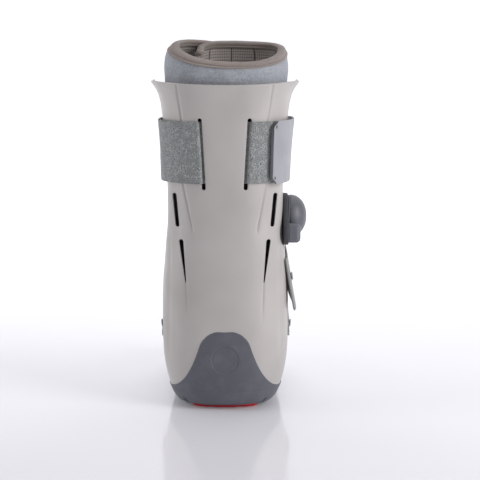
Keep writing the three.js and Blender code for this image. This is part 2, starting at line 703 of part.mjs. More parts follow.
// The point of the ankle strap's middle surface at a share of its width (-0.5 at its lower edge) and
// an angle round the leg: it hugs the leg, and splays outwards at the lower edge of its rear end
function anklePoint(share, angle) {
  const flat = ankleMiddle + share * ANKLE_STRAP_WIDTH;
  const forward = Math.max(girdlePoint(legEdges(flat, true), angle, LAYER)[1], 0);
  const z = flat + ANKLE_TILT * forward;
  const splay = ANKLE_SPLAY * (0.5 - share) ** 1.5 * smooth(ANKLE_SPLAY_FROM, ANKLE_START, angle);
  const [x, y] = girdlePoint(legEdges(z, true), angle, LAYER + STRAP_GAP + splay);
  return new THREE.Vector3(x, y, z);
}

// The ankle strap's front end goes inside the left edge of the shell
function makeAnkleStrap() {
  const angles = bandAngles(ANKLE_START, ANKLE_END);
  const grid = range(-0.5, 0.5, 4).map((share) => angles.map((angle) => anklePoint(share, angle)));
  const paths = grid.map((row) => row.map((p) => [p.x, p.y]));
  return bandAlong(paths, grid.map((row) => row.map((p) => p.z)), STRAP_THICK);
}

// A rivet's round head, its axis along X and its foot at the origin
function rivetHead() {
  const profile = [
    [0, 0], [RIVET_RADIUS, 0], [RIVET_RADIUS, RIVET_HEAD * 0.5],
    [RIVET_RADIUS * 0.7, RIVET_HEAD], [0, RIVET_HEAD],
  ].map(([r, y]) => new THREE.Vector2(r, y));
  const geometry = new THREE.LatheGeometry(profile, 12);
  geometry.rotateZ(-Math.PI / 2);
  return fromSolid(toSolid(geometry));
}

// Share of a strap's width between two points from which a rivet's seat takes its slope
const SEAT_STEP = 0.1;

// Seats a rivet's head on a strap, whose face is given as a function of two steps along it
function seatRivet(mesh, face, lift) {
  const along = face(0, 1).sub(face(0, -1));
  const up = face(1, 0).sub(face(-1, 0));
  const normal = along.cross(up).normalize();
  mesh.position.copy(face(0, 0)).addScaledVector(normal, lift);
  mesh.quaternion.setFromUnitVectors(new THREE.Vector3(1, 0, 0), normal);
}

function placeAnkleRivet(mesh) {
  const face = (up, along) => (
    anklePoint(ANKLE_RIVET_SHARE + SEAT_STEP * up, ANKLE_RIVET_ANGLE + BAND_STEP * along));
  seatRivet(mesh, face, STRAP_THICK / 2 + STRAP_GAP);
}

// The foot strap lies in fan sections of the liner: the outline there of the foot walls and the
// liner, as edges round the section's middle, with what turns a plan point back into space
function footSection(place) {
  const back = linerPoint(place, 0, 0);
  const top = linerPoint(place, 180, 0);
  const length = top.distanceTo(back);
  const up = top.clone().sub(back).normalize();
  const points = [];
  for (const along of range(0.3 * length, length, 60)) {
    const spot = back.clone().addScaledVector(up, along);
    const plan = shellPlan(spot.z);
    if (spot.y <= plan.front) {
      points.push([sideAt(plan, spot.y), along], [-sideAt(plan, spot.y), along]);
    }
  }
  for (const angle of range(90, 270, 16)) {
    const p = linerPoint(place, angle, GAP);
    points.push([p.x, p.clone().sub(back).dot(up)]);
  }
  const centre = [0, 0.45 * length];
  const toSpace = ([x, y]) => back.clone().addScaledVector(up, y + centre[1]).setX(x);
  return { edges: hullEdges(points, centre), toSpace };
}

function footStrapPlace(share) {
  const [ahead, behind] = [0, 1].map((k) => linerPoint(Math.floor(FOOT_STRAP_PLACE) + k, 180, 0));
  return FOOT_STRAP_PLACE - share * FOOT_STRAP_WIDTH / ahead.distanceTo(behind);
}

function makeFootStrap() {
  const sections = range(-0.5, 0.5, 4).map((share) => footSection(footStrapPlace(share)));
  const angles = bandAngles(FOOT_STRAP_SPREAD, 360 - FOOT_STRAP_SPREAD);
  const grid = (offset) => sections.map(({ edges, toSpace }) => (
    angles.map((angle) => toSpace(girdlePoint(edges, angle, offset)))));
  return wallBetween(grid(FOOT_STRAP_OFF + STRAP_THICK), grid(FOOT_STRAP_OFF));
}

function placeFootRivet(mesh, side) {
  const middle = 180 - side * (180 - FOOT_STRAP_SPREAD - FOOT_RIVET_IN);
  const face = (along, up) => {
    const { edges, toSpace } = footSection(footStrapPlace(-SEAT_STEP * side * along));
    return toSpace(girdlePoint(edges, middle + side * BAND_STEP * up, FOOT_STRAP_OFF + STRAP_THICK));
  };
  seatRivet(mesh, face, STRAP_GAP);
}

const bulbLevel = SHELL_HEIGHT * BULB_LEVEL;
const dialLevel = bulbLevel - DIAL_DROP;
const podBack = Math.max(...range(dialLevel - BULB_RADIUS, bulbLevel + BULB_RADIUS, 20)
  .map((z) => shellPlan(z).half)) + GAP;
const podFace = podBack + POD_THICK;

// The pod's outline is the band round two circles, one under the bulb and one under the dial. Its
// back follows the shell.
function makeInflatorBase() {
  const circles = [
    { y: BULB_FORWARD, z: bulbLevel, radius: BULB_RADIUS + POD_LIP },
    { y: DIAL_FORWARD, z: dialLevel, radius: DIAL_RADIUS + POD_LIP },
  ];
  const [big, small] = circles;
  const apart = Math.hypot(big.y - small.y, big.z - small.z);
  const heading = Math.atan2(big.z - small.z, big.y - small.y);
  const spread = Math.acos((big.radius - small.radius) / apart);
  const shape = new THREE.Shape();
  const start = heading - Math.PI + spread;
  const end = heading + Math.PI - spread;
  shape.absarc(big.y, big.z, big.radius, start, end, false);
  shape.absarc(small.y, small.z, small.radius, end, start + 2 * Math.PI, false);
  const hole = new THREE.Path();
  hole.absarc(small.y, small.z, SPIGOT_RADIUS + GAP, 0, 2 * Math.PI, true);
  shape.holes.push(hole);
  const depth = POD_THICK + 2 * SHELL_WALL;
  const geometry = new THREE.ExtrudeGeometry(shape, { depth, bevelEnabled: false, curveSegments: 12 });
  toSideFace(geometry, podFace - depth, 0, 0);
  const wall = wallBetween(shellSurface(GAP), shellSurface(-4 * SHELL_WALL));
  return fromSolid(toSolid(geometry).subtract(toSolid(wall)));
}

// Turns a shape drawn in X and Y and raised along Z so that it points right from a place on the side
function toSideFace(geometry, x, y, z) {
  geometry.applyMatrix4(new THREE.Matrix4().set(0, 0, 1, x, 1, 0, 0, y, 0, 1, 0, z, 0, 0, 0, 1));
  return geometry;
}

function makeBulb() {
  const profile = [new THREE.Vector2(0, 0), new THREE.Vector2(BULB_RADIUS * 0.93, 0)];
  for (const angle of range(0, 90, 8)) {
    profile.push(new THREE.Vector2(
      BULB_RADIUS * Math.cos(radians(angle)) ** 0.9,
      BULB_HEIGHT * mix(BULB_LIP, 1, Math.sin(radians(angle))),
    ));
  }
  profile[profile.length - 1].x = 0;
  const geometry = new THREE.LatheGeometry(profile, 20);
  geometry.rotateZ(-Math.PI / 2);
  geometry.translate(podFace + GAP, BULB_FORWARD, bulbLevel);
  return fromSolid(toSolid(geometry));
}

// The selector dial: a lobed knob with a spigot that turns in the pod's hole
function makeDial() {
  const outline = range(0, 360, 36).slice(0, -1).map((angle) => {
    const radius = DIAL_RADIUS * (1 - DIAL_LOBE_DEPTH * (1 - Math.cos(radians(DIAL_LOBES * angle))));
    return new THREE.Vector2(radius * Math.cos(radians(angle)), radius * Math.sin(radians(angle)));
  });
  const bevel = DIAL_HEIGHT * DIAL_BEVEL;
  const knob = new THREE.ExtrudeGeometry(new THREE.Shape(outline), {
    depth: DIAL_HEIGHT - bevel, bevelEnabled: true, bevelThickness: bevel, bevelSize: bevel,
    bevelOffset: -bevel, bevelSegments: 2,
  });
  const cut = new THREE.BoxGeometry(4 * DIAL_RADIUS, 4 * DIAL_RADIUS, 4 * bevel);
  cut.translate(0, 0, -2 * bevel);
  const pin = new THREE.CylinderGeometry(SPIGOT_RADIUS, SPIGOT_RADIUS, POD_THICK + GAP, 16);
  pin.rotateX(Math.PI / 2);
  pin.translate(0, 0, -(POD_THICK + GAP) / 2 + GAP);
  const solid = toSolid(knob).subtract(toSolid(cut)).add(toSolid(pin));
  return toSideFace(fromSolid(solid), podFace + GAP, DIAL_FORWARD, dialLevel);
}

const boot = new THREE.Group();

function addPart(name, geometry, color, roughness) {
  const mesh = new THREE.Mesh(geometry, new THREE.MeshStandardMaterial({ color, roughness, metalness: 0 }));
  mesh.name = name;
  boot.add(mesh);
  return mesh;
}

addPart('rear_shell', makeRearShell(), '#c9c5c2', 0.45);
addPart('front_shell', makeFrontShell(), '#c9c5c2', 0.45);
addPart('outsole', makeOutsole(), '#55565b', 0.7);
addPart('heel_pad', makeHeelPad(), '#c8102a', 0.5);
addPart('liner', makeLiner(), '#8f929b', 0.9);
addPart('liner_binding_top', makeBinding([bindingStart, RIM_PLACE - 0.03, RIM_PLACE]), '#8a7f79', 0.8);
addPart('liner_binding_toe', makeBinding([0, toeBindingEnd]), '#8a7f79', 0.8);
addPart('calf_strap', makeCalfStrap(), '#8b8d8e', 0.95);
addPart('calf_strap_tab', makeCalfTab(), '#b9babf', 0.5);
addPart('ankle_strap', makeAnkleStrap(), '#b4b5b6', 0.9);
placeAnkleRivet(addPart('ankle_rivet', rivetHead(), '#9a9b9f', 0.35));
addPart('foot_strap', makeFootStrap(), '#8b8d8e', 0.95);
placeFootRivet(addPart('foot_rivet_right', rivetHead(), '#9a9b9f', 0.35), 1);
placeFootRivet(addPart('foot_rivet_left', rivetHead(), '#9a9b9f', 0.35), -1);
addPart('inflator_base', makeInflatorBase(), '#5c5d62', 0.6);
addPart('inflator_bulb', makeBulb(), '#6b6c71', 0.6);
addPart('selector_dial', makeDial(), '#7c7c85', 0.5);

export default boot;
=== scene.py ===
"""A medical walking boot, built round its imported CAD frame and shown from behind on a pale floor."""

import bmesh
import bpy
import numpy as np
from mathutils import Euler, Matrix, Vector


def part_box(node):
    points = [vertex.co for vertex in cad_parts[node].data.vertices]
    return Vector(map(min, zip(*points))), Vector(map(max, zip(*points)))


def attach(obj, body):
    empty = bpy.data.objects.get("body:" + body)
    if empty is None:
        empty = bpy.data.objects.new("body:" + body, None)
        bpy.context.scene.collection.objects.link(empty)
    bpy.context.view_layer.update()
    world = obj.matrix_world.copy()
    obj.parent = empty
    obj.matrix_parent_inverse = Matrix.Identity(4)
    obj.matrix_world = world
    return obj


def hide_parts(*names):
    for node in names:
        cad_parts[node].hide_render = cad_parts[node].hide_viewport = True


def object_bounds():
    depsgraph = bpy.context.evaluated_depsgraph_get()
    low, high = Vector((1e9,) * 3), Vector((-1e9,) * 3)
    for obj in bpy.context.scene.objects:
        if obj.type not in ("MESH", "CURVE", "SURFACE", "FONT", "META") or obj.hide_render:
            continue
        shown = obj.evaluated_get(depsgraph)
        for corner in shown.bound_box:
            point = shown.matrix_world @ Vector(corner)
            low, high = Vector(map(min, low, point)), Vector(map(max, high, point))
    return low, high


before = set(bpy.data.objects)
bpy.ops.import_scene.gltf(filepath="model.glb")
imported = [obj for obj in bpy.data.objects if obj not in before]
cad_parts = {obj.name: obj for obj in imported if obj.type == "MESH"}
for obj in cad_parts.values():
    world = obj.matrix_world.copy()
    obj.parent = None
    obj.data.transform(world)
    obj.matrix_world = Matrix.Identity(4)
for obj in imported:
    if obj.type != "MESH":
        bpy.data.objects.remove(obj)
CAD_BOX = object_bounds()

bl_info = {
    "name": "Medical walking boot",
    "version": (1, 0, 0),
    "blender": (4, 5, 0),
    "location": "View3D > Sidebar > Boot",
    "description": "Builds the surfaces and finishes of a medical walking boot",
    "category": "Add Mesh",
}

MM = 0.001
BODY = "boot"

# Rear shell, one row per level: level is a share of the height above the sole, half and back are
# shares of the shell's half width and back, front is the wall's front edge and reach is where its
# sides would close, as shares of the sole's front.
SHELL_ROWS = np.array([
    # level, half, back, front, reach
    (0.000, 0.963, 0.930, 0.900, 1.00),
    (0.040, 1.020, 0.985, 0.890, 1.00),
    (0.090, 1.065, 1.015, 0.800, 1.00),
    (0.140, 1.083, 1.025, 0.620, 0.98),
    (0.185, 1.088, 1.020, 0.460, 0.94),
    (0.230, 1.088, 1.010, 0.320, 0.86),
    (0.275, 1.088, 1.000, 0.225, 0.76),
    (0.320, 1.082, 0.990, 0.175, 0.66),
    (0.370, 1.070, 0.983, 0.185, 0.58),
    (0.420, 1.045, 0.978, 0.195, 0.54),
    (0.480, 1.022, 0.975, 0.200, 0.52),
    (0.540, 0.996, 0.975, 0.200, 0.52),
    (0.630, 0.995, 0.980, 0.175, 0.52),
    (0.720, 1.003, 0.985, 0.146, 0.52),
    (0.810, 1.030, 0.992, 0.142, 0.53),
    (0.890, 1.076, 1.000, 0.140, 0.54),
    (0.935, 1.110, 1.010, 0.135, 0.56),
    (0.968, 1.163, 1.030, 0.128, 0.60),
    (1.000, 1.270, 1.060, 0.115, 0.66),
])

# Liner, one row per fan section from the toe opening to the rim: the section's back and front
# points, its half width as a share of the room between the walls, and how flat its sole side is.
LINER_ROWS = np.array([
    # back_y, back_z, front_y, front_z, half, flat
    (1.87, 0.012, 1.87, 0.150, 0.950, 1.0),
    (1.56, 0.004, 1.66, 0.162, 0.880, 1.0),
    (1.26, 0.000, 1.49, 0.172, 0.860, 1.0),
    (0.88, 0.000, 1.33, 0.182, 0.870, 1.0),
    (-0.16, 0.000, 1.21, 0.191, 0.910, 1.0),
    (-0.84, 0.012, 1.13, 0.214, 0.940, 0.8),
    (-0.98, 0.080, 1.06, 0.246, 0.940, 0.3),
    (-0.99, 0.182, 1.02, 0.281, 0.950, 0.0),
    (-1.00, 0.284, 0.97, 0.324, 0.960, 0.0),
    (-1.00, 0.412, 0.95, 0.426, 0.965, 0.0),
    (-1.00, 0.540, 0.97, 0.553, 0.970, 0.0),
    (-1.00, 0.693, 1.00, 0.706, 0.970, 0.0),
    (-1.00, 0.821, 1.02, 0.851, 0.980, 0.0),
    (-1.02, 0.928, 1.04, 1.000, 0.945, 0.0),
])

# Outer sole, one row per level: shares of the sole's thickness and of the shell's outline at its base
SOLE_ROWS = np.array([
    # level, half, back, front
    (0.00, 0.72, 0.66, 0.60),
    (0.18, 0.84, 0.85, 0.79),
    (0.42, 0.92, 0.94, 0.91),
    (0.70, 0.97, 0.99, 0.96),
    (1.00, 1.012, 1.0125, 1.01),
])

# Heel tab's top edge: distance from the middle as a share of the base's half width, and height as a
# share of the tab's height over the sole
TAB_EDGE = np.array([
    (0.00, 1.00), (0.20, 0.99), (0.33, 0.92), (0.43, 0.80), (0.50, 0.62),
    (0.58, 0.44), (0.70, 0.24), (0.84, 0.09), (1.00, 0.00),
])

# Lines on the shell seen from behind, as heights and distances from the middle in metres: the strap
# slot, the crease that bounds the back panel, and the line that both vents lie on
SLOT_LINE = np.array([(0.022, 0.0190), (0.180, 0.0200), (0.256, 0.0237), (0.338, 0.0284), (0.375, 0.0310)])
CREASE_LINE = np.array([(0.022, 0.0290), (0.170, 0.0325), (0.2125, 0.0375), (0.2615, 0.0477),
                        (0.300, 0.0478), (0.333, 0.0489), (0.364, 0.0534), (0.375, 0.0550)])
VENT_LINE = np.array([(0.022, 0.0400), (0.100, 0.0425), (0.149, 0.0448), (0.1985, 0.0502),
                      (0.2137, 0.0544), (0.251, 0.0581), (0.375, 0.0640)])


def length_size(name, value, about):
    """A length in metres that a user can change."""
    return bpy.props.FloatProperty(name=name, description=about, default=value, unit="LENGTH")


class BootSizes(bpy.types.PropertyGroup):
    """The boot's driving sizes"""
    shell_height: length_size("Shell height", 0.3745, "Top of the rear shell behind the calf")
    half_width: length_size("Half width", 0.068, "Half of the shell's width at the calf")
    shell_back: length_size("Shell back", 0.069, "From the leg's axis to the shell's back")
    shell_wall: length_size("Shell wall", 0.003, "Thickness of the moulded shell")
    rim_rise: length_size("Rim rise", 0.0025, "How far the shell's rim rises at the sides")
    sole_front: length_size("Sole front", 0.226, "From the leg's axis to the toe end of the sole")
    sole_thick: length_size("Sole thickness", 0.022, "Thickness of the outer sole")
    base_plate: length_size("Base plate", 0.006, "Thickness of the shell's floor")
    leg_front: length_size("Leg front", 0.056, "From the leg's axis to the liner's front")
    liner_rise: length_size("Liner rise", 0.0495, "How far the liner stands over the shell")
    liner_wall: length_size("Liner wall", 0.007, "Thickness of the padded liner")
    binding_height: length_size("Binding height", 0.010, "Height of the tape round the liner's ends")
    tab_top: length_size("Heel tab top", 0.094, "Top of the rubber tab behind the heel")
    badge_radius: length_size("Badge radius", 0.017, "Radius of the bare dish on the heel tab")
    badge_level: length_size("Badge level", 0.061, "Height of the dish on the heel tab")
    slot_width: length_size("Slot width", 0.005, "Width of the slots for the calf strap")
    strap_thick: length_size("Strap thickness", 0.002, "Thickness of the straps")
    strap_level: length_size("Calf strap level", 0.2985, "Middle of the calf strap")
    strap_width: length_size("Calf strap width", 0.070, "Width of the calf strap")
    ankle_level: length_size("Ankle strap level", 0.1416, "Middle of the ankle strap at its rear end")
    ankle_width: length_size("Ankle strap width", 0.060, "Width of the ankle strap")
    foot_strap_width: length_size("Foot strap width", 0.046, "Width of the foot strap")
    bulb_radius: length_size("Bulb radius", 0.025, "Radius of the inflation bulb")
    bulb_height: length_size("Bulb height", 0.022, "How far the bulb stands over its base")
    dial_radius: length_size("Dial radius", 0.012, "Radius of the selector dial")
    dial_height: length_size("Dial height", 0.0135, "How far the dial stands over its base")


def sizes():
    """The driving sizes as the scene has them now."""
    return bpy.context.scene.boot_sizes


def smooth(low, high, value):
    """0 below low, 1 above high, and the cubic 3t^2 - 2t^3 between them."""
    share = np.clip((value - low) / (high - low), 0, 1)
    return share * share * (3 - 2 * share)


def mix(a, b, share):
    """The value at a share of the way from a to b."""
    return a + (b - a) * share


def through_rows(rows, at):
    """A cubic curve through a table's rows, whose first column is what the others follow. Its slope
    at a row is the slope between the rows beside it."""
    key, values = rows[:, 0], rows[:, 1:]
    slopes = np.gradient(values, key, axis=0)
    at = np.asarray(at, float)
    i = np.clip(np.searchsorted(key, at, side="right") - 1, 0, len(key) - 2)
    step = (key[i + 1] - key[i])[..., None]
    t = np.clip((at - key[i])[..., None] / step, 0, 1)
    a, b, da, db = values[i], values[i + 1], slopes[i] * step, slopes[i + 1] * step
    curve = a + t * (da + t * (3 * (b - a) - 2 * da - db + t * (2 * (a - b) + da + db)))
    return np.moveaxis(curve, -1, 0)


def rounded(angle, exponent):
    """Radius of the unit superellipse |x|^n + |y|^n = 1 at an angle from its axis."""
    total = np.abs(np.sin(angle)) ** exponent + np.abs(np.cos(angle)) ** exponent
    return total ** (-1 / exponent)


BACK_ROUNDING = 2.5
TOE_ROUNDING = 3.2
LINER_ROUNDING = 2.2
SOLE_ROUNDING = 4.0


def shell_plan(z):
    """Half width, back, front edge and reach of the shell's plan at heights z."""
    s = sizes()
    level = (z - s.sole_thick) / (s.shell_height - s.sole_thick)
    half, back, front, reach = through_rows(SHELL_ROWS, np.clip(level, 0, 1))
    return half * s.half_width, back * s.shell_back, front * s.sole_front, reach * s.sole_front


def side_at(plan, y):
    """Half width of a plan at places y: a rounded back, and sides that close towards the reach."""
    half, back, _, reach = plan
    behind = 1 - np.clip(-y / back, 0, 1) ** BACK_ROUNDING
    ahead = 1 - np.clip(y / reach, 0, 1) ** TOE_ROUNDING
    return half * np.where(y < 0, behind ** (1 / BACK_ROUNDING), ahead ** (1 / TOE_ROUNDING))


def back_at(plan, x, offset=0.0):
    """How far behind the leg's axis the plan's back lies at distances x from the middle."""
    half, back = plan[0] + offset, plan[1] + offset
    share = np.clip(np.abs(x) / half, 0, 1)
    return back * (1 - share ** BACK_ROUNDING) ** (1 / BACK_ROUNDING)


def rim_lift(z, x, half):
    """How much the shell's rim rises at a distance x from the middle."""
    s = sizes()
    level = (z - s.sole_thick) / (s.shell_height - s.sole_thick)
    return s.rim_rise * smooth(0.8, 1, level) * np.clip(np.abs(x) / half, 0, 1) ** 2


# Meshes

WELD_DISTANCE = 1e-6
TINY = 1e-9


def unit(vectors):
    """Vectors at length 1. One of no length stays so."""
    return vectors / np.maximum(np.linalg.norm(vectors, axis=-1, keepdims=True), TINY)


def grid_faces(rows, columns, start):
    """Quads of a grid of points whose rows follow one another, wound right round each cell."""
    index = start + np.arange(rows * columns).reshape(rows, columns)
    corners = (index[:-1, :-1], index[:-1, 1:], index[1:, 1:], index[1:, :-1])
    return np.stack(corners, -1).reshape(-1, 4)


def mesh_from(name, grids, keep=None, uv=None, finish=None):
    """A mesh from one or more grids of points. Points that coincide are welded, so a grid closes
    where its first and last column are alike. A single grid may have a mask of the cells to keep,
    two map coordinates per point, and a number per cell that picks its material."""
    faces, start = [], 0
    for grid in grids:
        rows, columns = grid.shape[:2]
        faces.append(grid_faces(rows, columns, start))
        start += rows * columns
    faces = np.concatenate(faces)
    points = np.concatenate([grid.reshape(-1, 3) for grid in grids])
    if keep is not None:
        used, faces = np.unique(faces[keep.ravel()], return_inverse=True)
        points, faces = points[used], faces.reshape(-1, 4)
    mesh = bpy.data.meshes.new(name)
    mesh.from_pydata(points.tolist(), [], faces.tolist())
    if uv is not None:
        layer = mesh.uv_layers.new(name="UVMap")
        layer.data.foreach_set("uv", uv.reshape(-1, 2)[faces.ravel()].ravel())
    if finish is not None:
        mesh.polygons.foreach_set("material_index", finish.ravel())
    weld(mesh)
    return mesh


def weld(mesh):
    """Merges points that coincide and turns the faces outwards: the signed volume between an open
    surface and the leg's axis is then more than 0, too."""
    work = bmesh.new()
    work.from_mesh(mesh)
    bmesh.ops.remove_doubles(work, verts=work.verts, dist=WELD_DISTANCE)
    bmesh.ops.dissolve_degenerate(work, edges=work.edges, dist=WELD_DISTANCE)
    bmesh.ops.recalc_face_normals(work, faces=work.faces)
    if work.calc_volume(signed=True) < 0:
        bmesh.ops.reverse_faces(work, faces=work.faces)
    work.to_mesh(mesh)
    work.free()
    mesh.polygons.foreach_set("use_smooth", np.ones(len(mesh.polygons), bool))
    mesh.update()


def add_piece(name, mesh, nodes, materials, body=BODY):
    """Puts a mesh into the scene as a piece that rides on a body and stands for CAD nodes."""
    piece = bpy.data.objects.new(name, mesh)
    bpy.context.scene.collection.objects.link(piece)
    for material in materials:
        mesh.materials.append(material)
    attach(piece, body)
    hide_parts(*nodes)
    return piece


def add_wall(piece, thickness):
    """Gives an open surface its wall, inwards from it."""
    wall = piece.modifiers.new("Wall", "SOLIDIFY")
    wall.thickness = thickness
    wall.offset = -1.0
    wall.use_even_offset = True
    return wall


def add_rounding(piece, width, segments):
    """Rounds the wall's sharp edges."""
    rounding = piece.modifiers.new("Rounded edges", "BEVEL")
    rounding.width = width
    rounding.segments = segments
    rounding.limit_method = "ANGLE"
    rounding.angle_limit = np.radians(40)


# Shell

# Columns round half of the shell's back, from its middle: each pair of lines and how many cells lie
# between them. The lines are the slot's edges, the crease and the vents' edges.
BACK_CELLS = (12, 4, 9, 2, 2, 5, 2, 2, 22)
SIDE_CELLS = 24
# Heights in millimetres at which the rows' spacing changes, and that spacing up to the next one
SHELL_BANDS = ((22, 3), (96, 2), (146, .8), (153, 1.8), (195, .8), (202, 1.5), (211, .8), (218, 1.8),
               (247, .8), (262, 1.8), (333, .8), (340, 1.5), (374.5, 0))

# Grooves down the shell's back: half width and depth, the heights between which each one fades in
# from below, and those between which it fades out towards its top. The crease runs out at the rim.
CREASE_GROOVE = (0.0009, 0.0012, (0.203, 0.214), (1.0, 0.9))
VENT_GROOVE = (0.0010, 0.0010, (0.098, 0.130), (0.151, 0.147))
SEAM_GROOVE = (0.0022, 0.0014, (0.04, 0.09), (0.225, 0.17))
# The seam's distance from the middle at its lower and upper end, and the heights where it changes
SEAM_PLACES, SEAM_BEND = (0.0655, 0.0640), (0.09, 0.19)
# The hollow outside the crease: depth, width of its edge, and the heights where it fades in
HOLLOW_DEPTH, HOLLOW_EDGE, HOLLOW_RISE = 0.0007, 0.006, (0.203, 0.26)
BADGE_RECESS, BADGE_MARGIN = 0.0015, 0.005

# Openings in the shell's back seen from behind: line, lower and upper end, radii there
SLOT_ENDS = (0.2588, 0.3350)
VENT_CUTS = ((VENT_LINE, 0.2150, 0.2485, 0.0024, 0.0026), (VENT_LINE, 0.1498, 0.1963, 0.0007, 0.0026))
VENT_HALF = 0.0025
# What counts as the back, and the share of the wall's thickness that is left round the vents
BACK_LIMIT = -0.012
VENT_WALL_SHARE, VENT_WALL_REACH = 0.3, 0.0012


def openings():
    """The slot's and the vents' cuts, each mirrored to both sides of the shell."""
    radius = sizes().slot_width / 2
    return ((SLOT_LINE, *SLOT_ENDS, radius, radius), *VENT_CUTS)


def line_at(line, z):
    """Distance from the middle of one of the lines on the shell at heights z."""
    return np.interp(z, line[:, 0], line[:, 1])


def shell_heights():
    """Row heights in bands, each with its own spacing."""
    heights = [np.arange(low, high, step) for (low, step), (high, _) in zip(SHELL_BANDS, SHELL_BANDS[1:])]
    top = SHELL_BANDS[-1][0]
    heights = np.append(np.concatenate(heights), top) * MM
    s = sizes()
    share = (heights - heights[0]) / (heights[-1] - heights[0])
    return mix(s.sole_thick, s.shell_height, share)


def shell_angles(z, plan):
    """Column angles of the back at each row, so that columns run along the slot, crease and vents."""
    s = sizes()
    slot, crease, vent = (line_at(line, z) for line in (SLOT_LINE, CREASE_LINE, VENT_LINE))
    half = CREASE_GROOVE[0]
    places = [np.zeros_like(z), slot - s.slot_width / 2, slot + s.slot_width / 2,
              crease - half, crease, crease + half, vent - VENT_HALF, vent, vent + VENT_HALF]
    share = np.clip(np.stack(places, 1) / plan[0][:, None], 0, 0.999)
    rise = (1 - share ** BACK_ROUNDING) ** (1 / BACK_ROUNDING)
    keys = np.column_stack([np.arctan2(share, rise), np.full(len(z), np.pi / 2)])
    count = np.concatenate([[0], np.cumsum(BACK_CELLS)])
    cell = np.arange(count[-1] + 1)
    i = np.clip(np.searchsorted(count, cell, side="right") - 1, 0, len(BACK_CELLS) - 1)
    part = (cell - count[i]) / np.array(BACK_CELLS)[i]
    right = mix(keys[:, i], keys[:, i + 1], part)
    return np.concatenate([-right[:, :0:-1], right], 1)


def groove(aside, z, half, depth, fade_in, fade_out):
    """Depth of a groove at distances aside from its line: depth e^-(aside / half)^2."""
    return depth * np.exp(-(aside / half) ** 2) * smooth(*fade_in, z) * smooth(*fade_out, z)


def shell_relief(x, y, z):
    """How far the shell's face lies inside its smooth outline: a narrow groove along each crease, a
    line under each vent's tip, a seam down each side, a soft hollow outside the crease, and a recess
    that leaves room for the badge's dish."""
    s = sizes()
    aside = np.abs(x)
    from_crease = aside - line_at(CREASE_LINE, z)
    from_vent = aside - line_at(VENT_LINE, z)
    from_seam = aside - mix(*SEAM_PLACES, smooth(*SEAM_BEND, z))
    grooves = (groove(from_crease, z, *CREASE_GROOVE) + groove(from_vent, z, *VENT_GROOVE)
               + groove(from_seam, z, *SEAM_GROOVE))
    hollow = HOLLOW_DEPTH * smooth(0, HOLLOW_EDGE, from_crease) * smooth(*HOLLOW_RISE, z)
    from_badge = np.hypot(x, z - s.badge_level)
    recess = BADGE_RECESS * smooth(s.badge_radius + BADGE_MARGIN, s.badge_radius, from_badge)
    return smooth(0.0, -0.02, y) * (grooves + hollow + recess)


def shell_face():
    """The shell's outer face. Behind the leg each row is the superellipse x = half r sin a,
    y = -back r cos a; in front it closes as a second one towards the reach, up to the front edge."""
    z = shell_heights()
    plan = shell_plan(z)
    half, back, front, reach = (value[:, None] for value in plan)
    angle = shell_angles(z, plan)
    radius = rounded(angle, BACK_ROUNDING)
    x, y = half * radius * np.sin(angle), -back * radius * np.cos(angle)
    ahead = np.clip(front / reach, 0, 0.995)
    last = np.arctan2(ahead, (1 - ahead ** TOE_ROUNDING) ** (1 / TOE_ROUNDING))
    turn = last * np.linspace(0, 1, SIDE_CELLS + 1)[1:]
    side = rounded(turn, TOE_ROUNDING)
    side_x, side_y = half * side * np.cos(turn), reach * side * np.sin(turn)
    x = np.concatenate([-side_x[:, ::-1], x, side_x], 1)
    y = np.concatenate([side_y[:, ::-1], y, side_y], 1)
    rows = np.broadcast_to(z[:, None], x.shape)
    inward = shell_relief(x, y, rows) / np.hypot(x, y)
    lifted = rows + rim_lift(rows, x, half)
    return np.stack([x * (1 - inward), y * (1 - inward), lifted], -1)


def cut_distance(cut, x, z):
    """Distance to the edge of an opening, less than 0 inside it: a band along its line whose
    radius runs evenly from one round end to the other. Also gives the nearest point on the line."""
    line, low, high, low_radius, high_radius = cut
    level = np.clip(z, low, high)
    middle = line_at(line, level)
    radius = mix(low_radius, high_radius, (level - low) / (high - low))
    return np.hypot(np.abs(x) - middle, z - level) - radius, middle, level, radius


def open_shell(points):
    """Takes the cells inside the slots and vents out of the back, and moves the points round each
    hole onto its edge. The edge keeps the face's own depth."""
    keep = np.ones((points.shape[0] - 1, points.shape[1] - 1), bool)
    centre = (points[:-1, :-1] + points[1:, 1:] + points[:-1, 1:] + points[1:, :-1]) / 4
    behind = centre[..., 1] < BACK_LIMIT
    for cut in openings():
        inside = (cut_distance(cut, centre[..., 0], centre[..., 2])[0] < 0) & behind
        keep &= ~inside
        touched = np.zeros(points.shape[:2], int)
        for rows in (slice(None, -1), slice(1, None)):
            for columns in (slice(None, -1), slice(1, None)):
                touched[rows, columns] += np.where(inside, 1, 0)
        edge = (touched > 0) & (touched < 4)
        x, y, z = points[edge].T
        _, middle, level, radius = cut_distance(cut, x, z)
        away = unit(np.stack([np.abs(x) - middle, z - level], -1))
        new_x = np.sign(x) * (middle + away[:, 0] * radius)
        new_z = level + away[:, 1] * radius
        deeper = back_at(shell_plan(z), x) - back_at(shell_plan(new_z), new_x)
        points[edge] = np.stack([new_x, y + deeper, new_z], -1)
    return keep


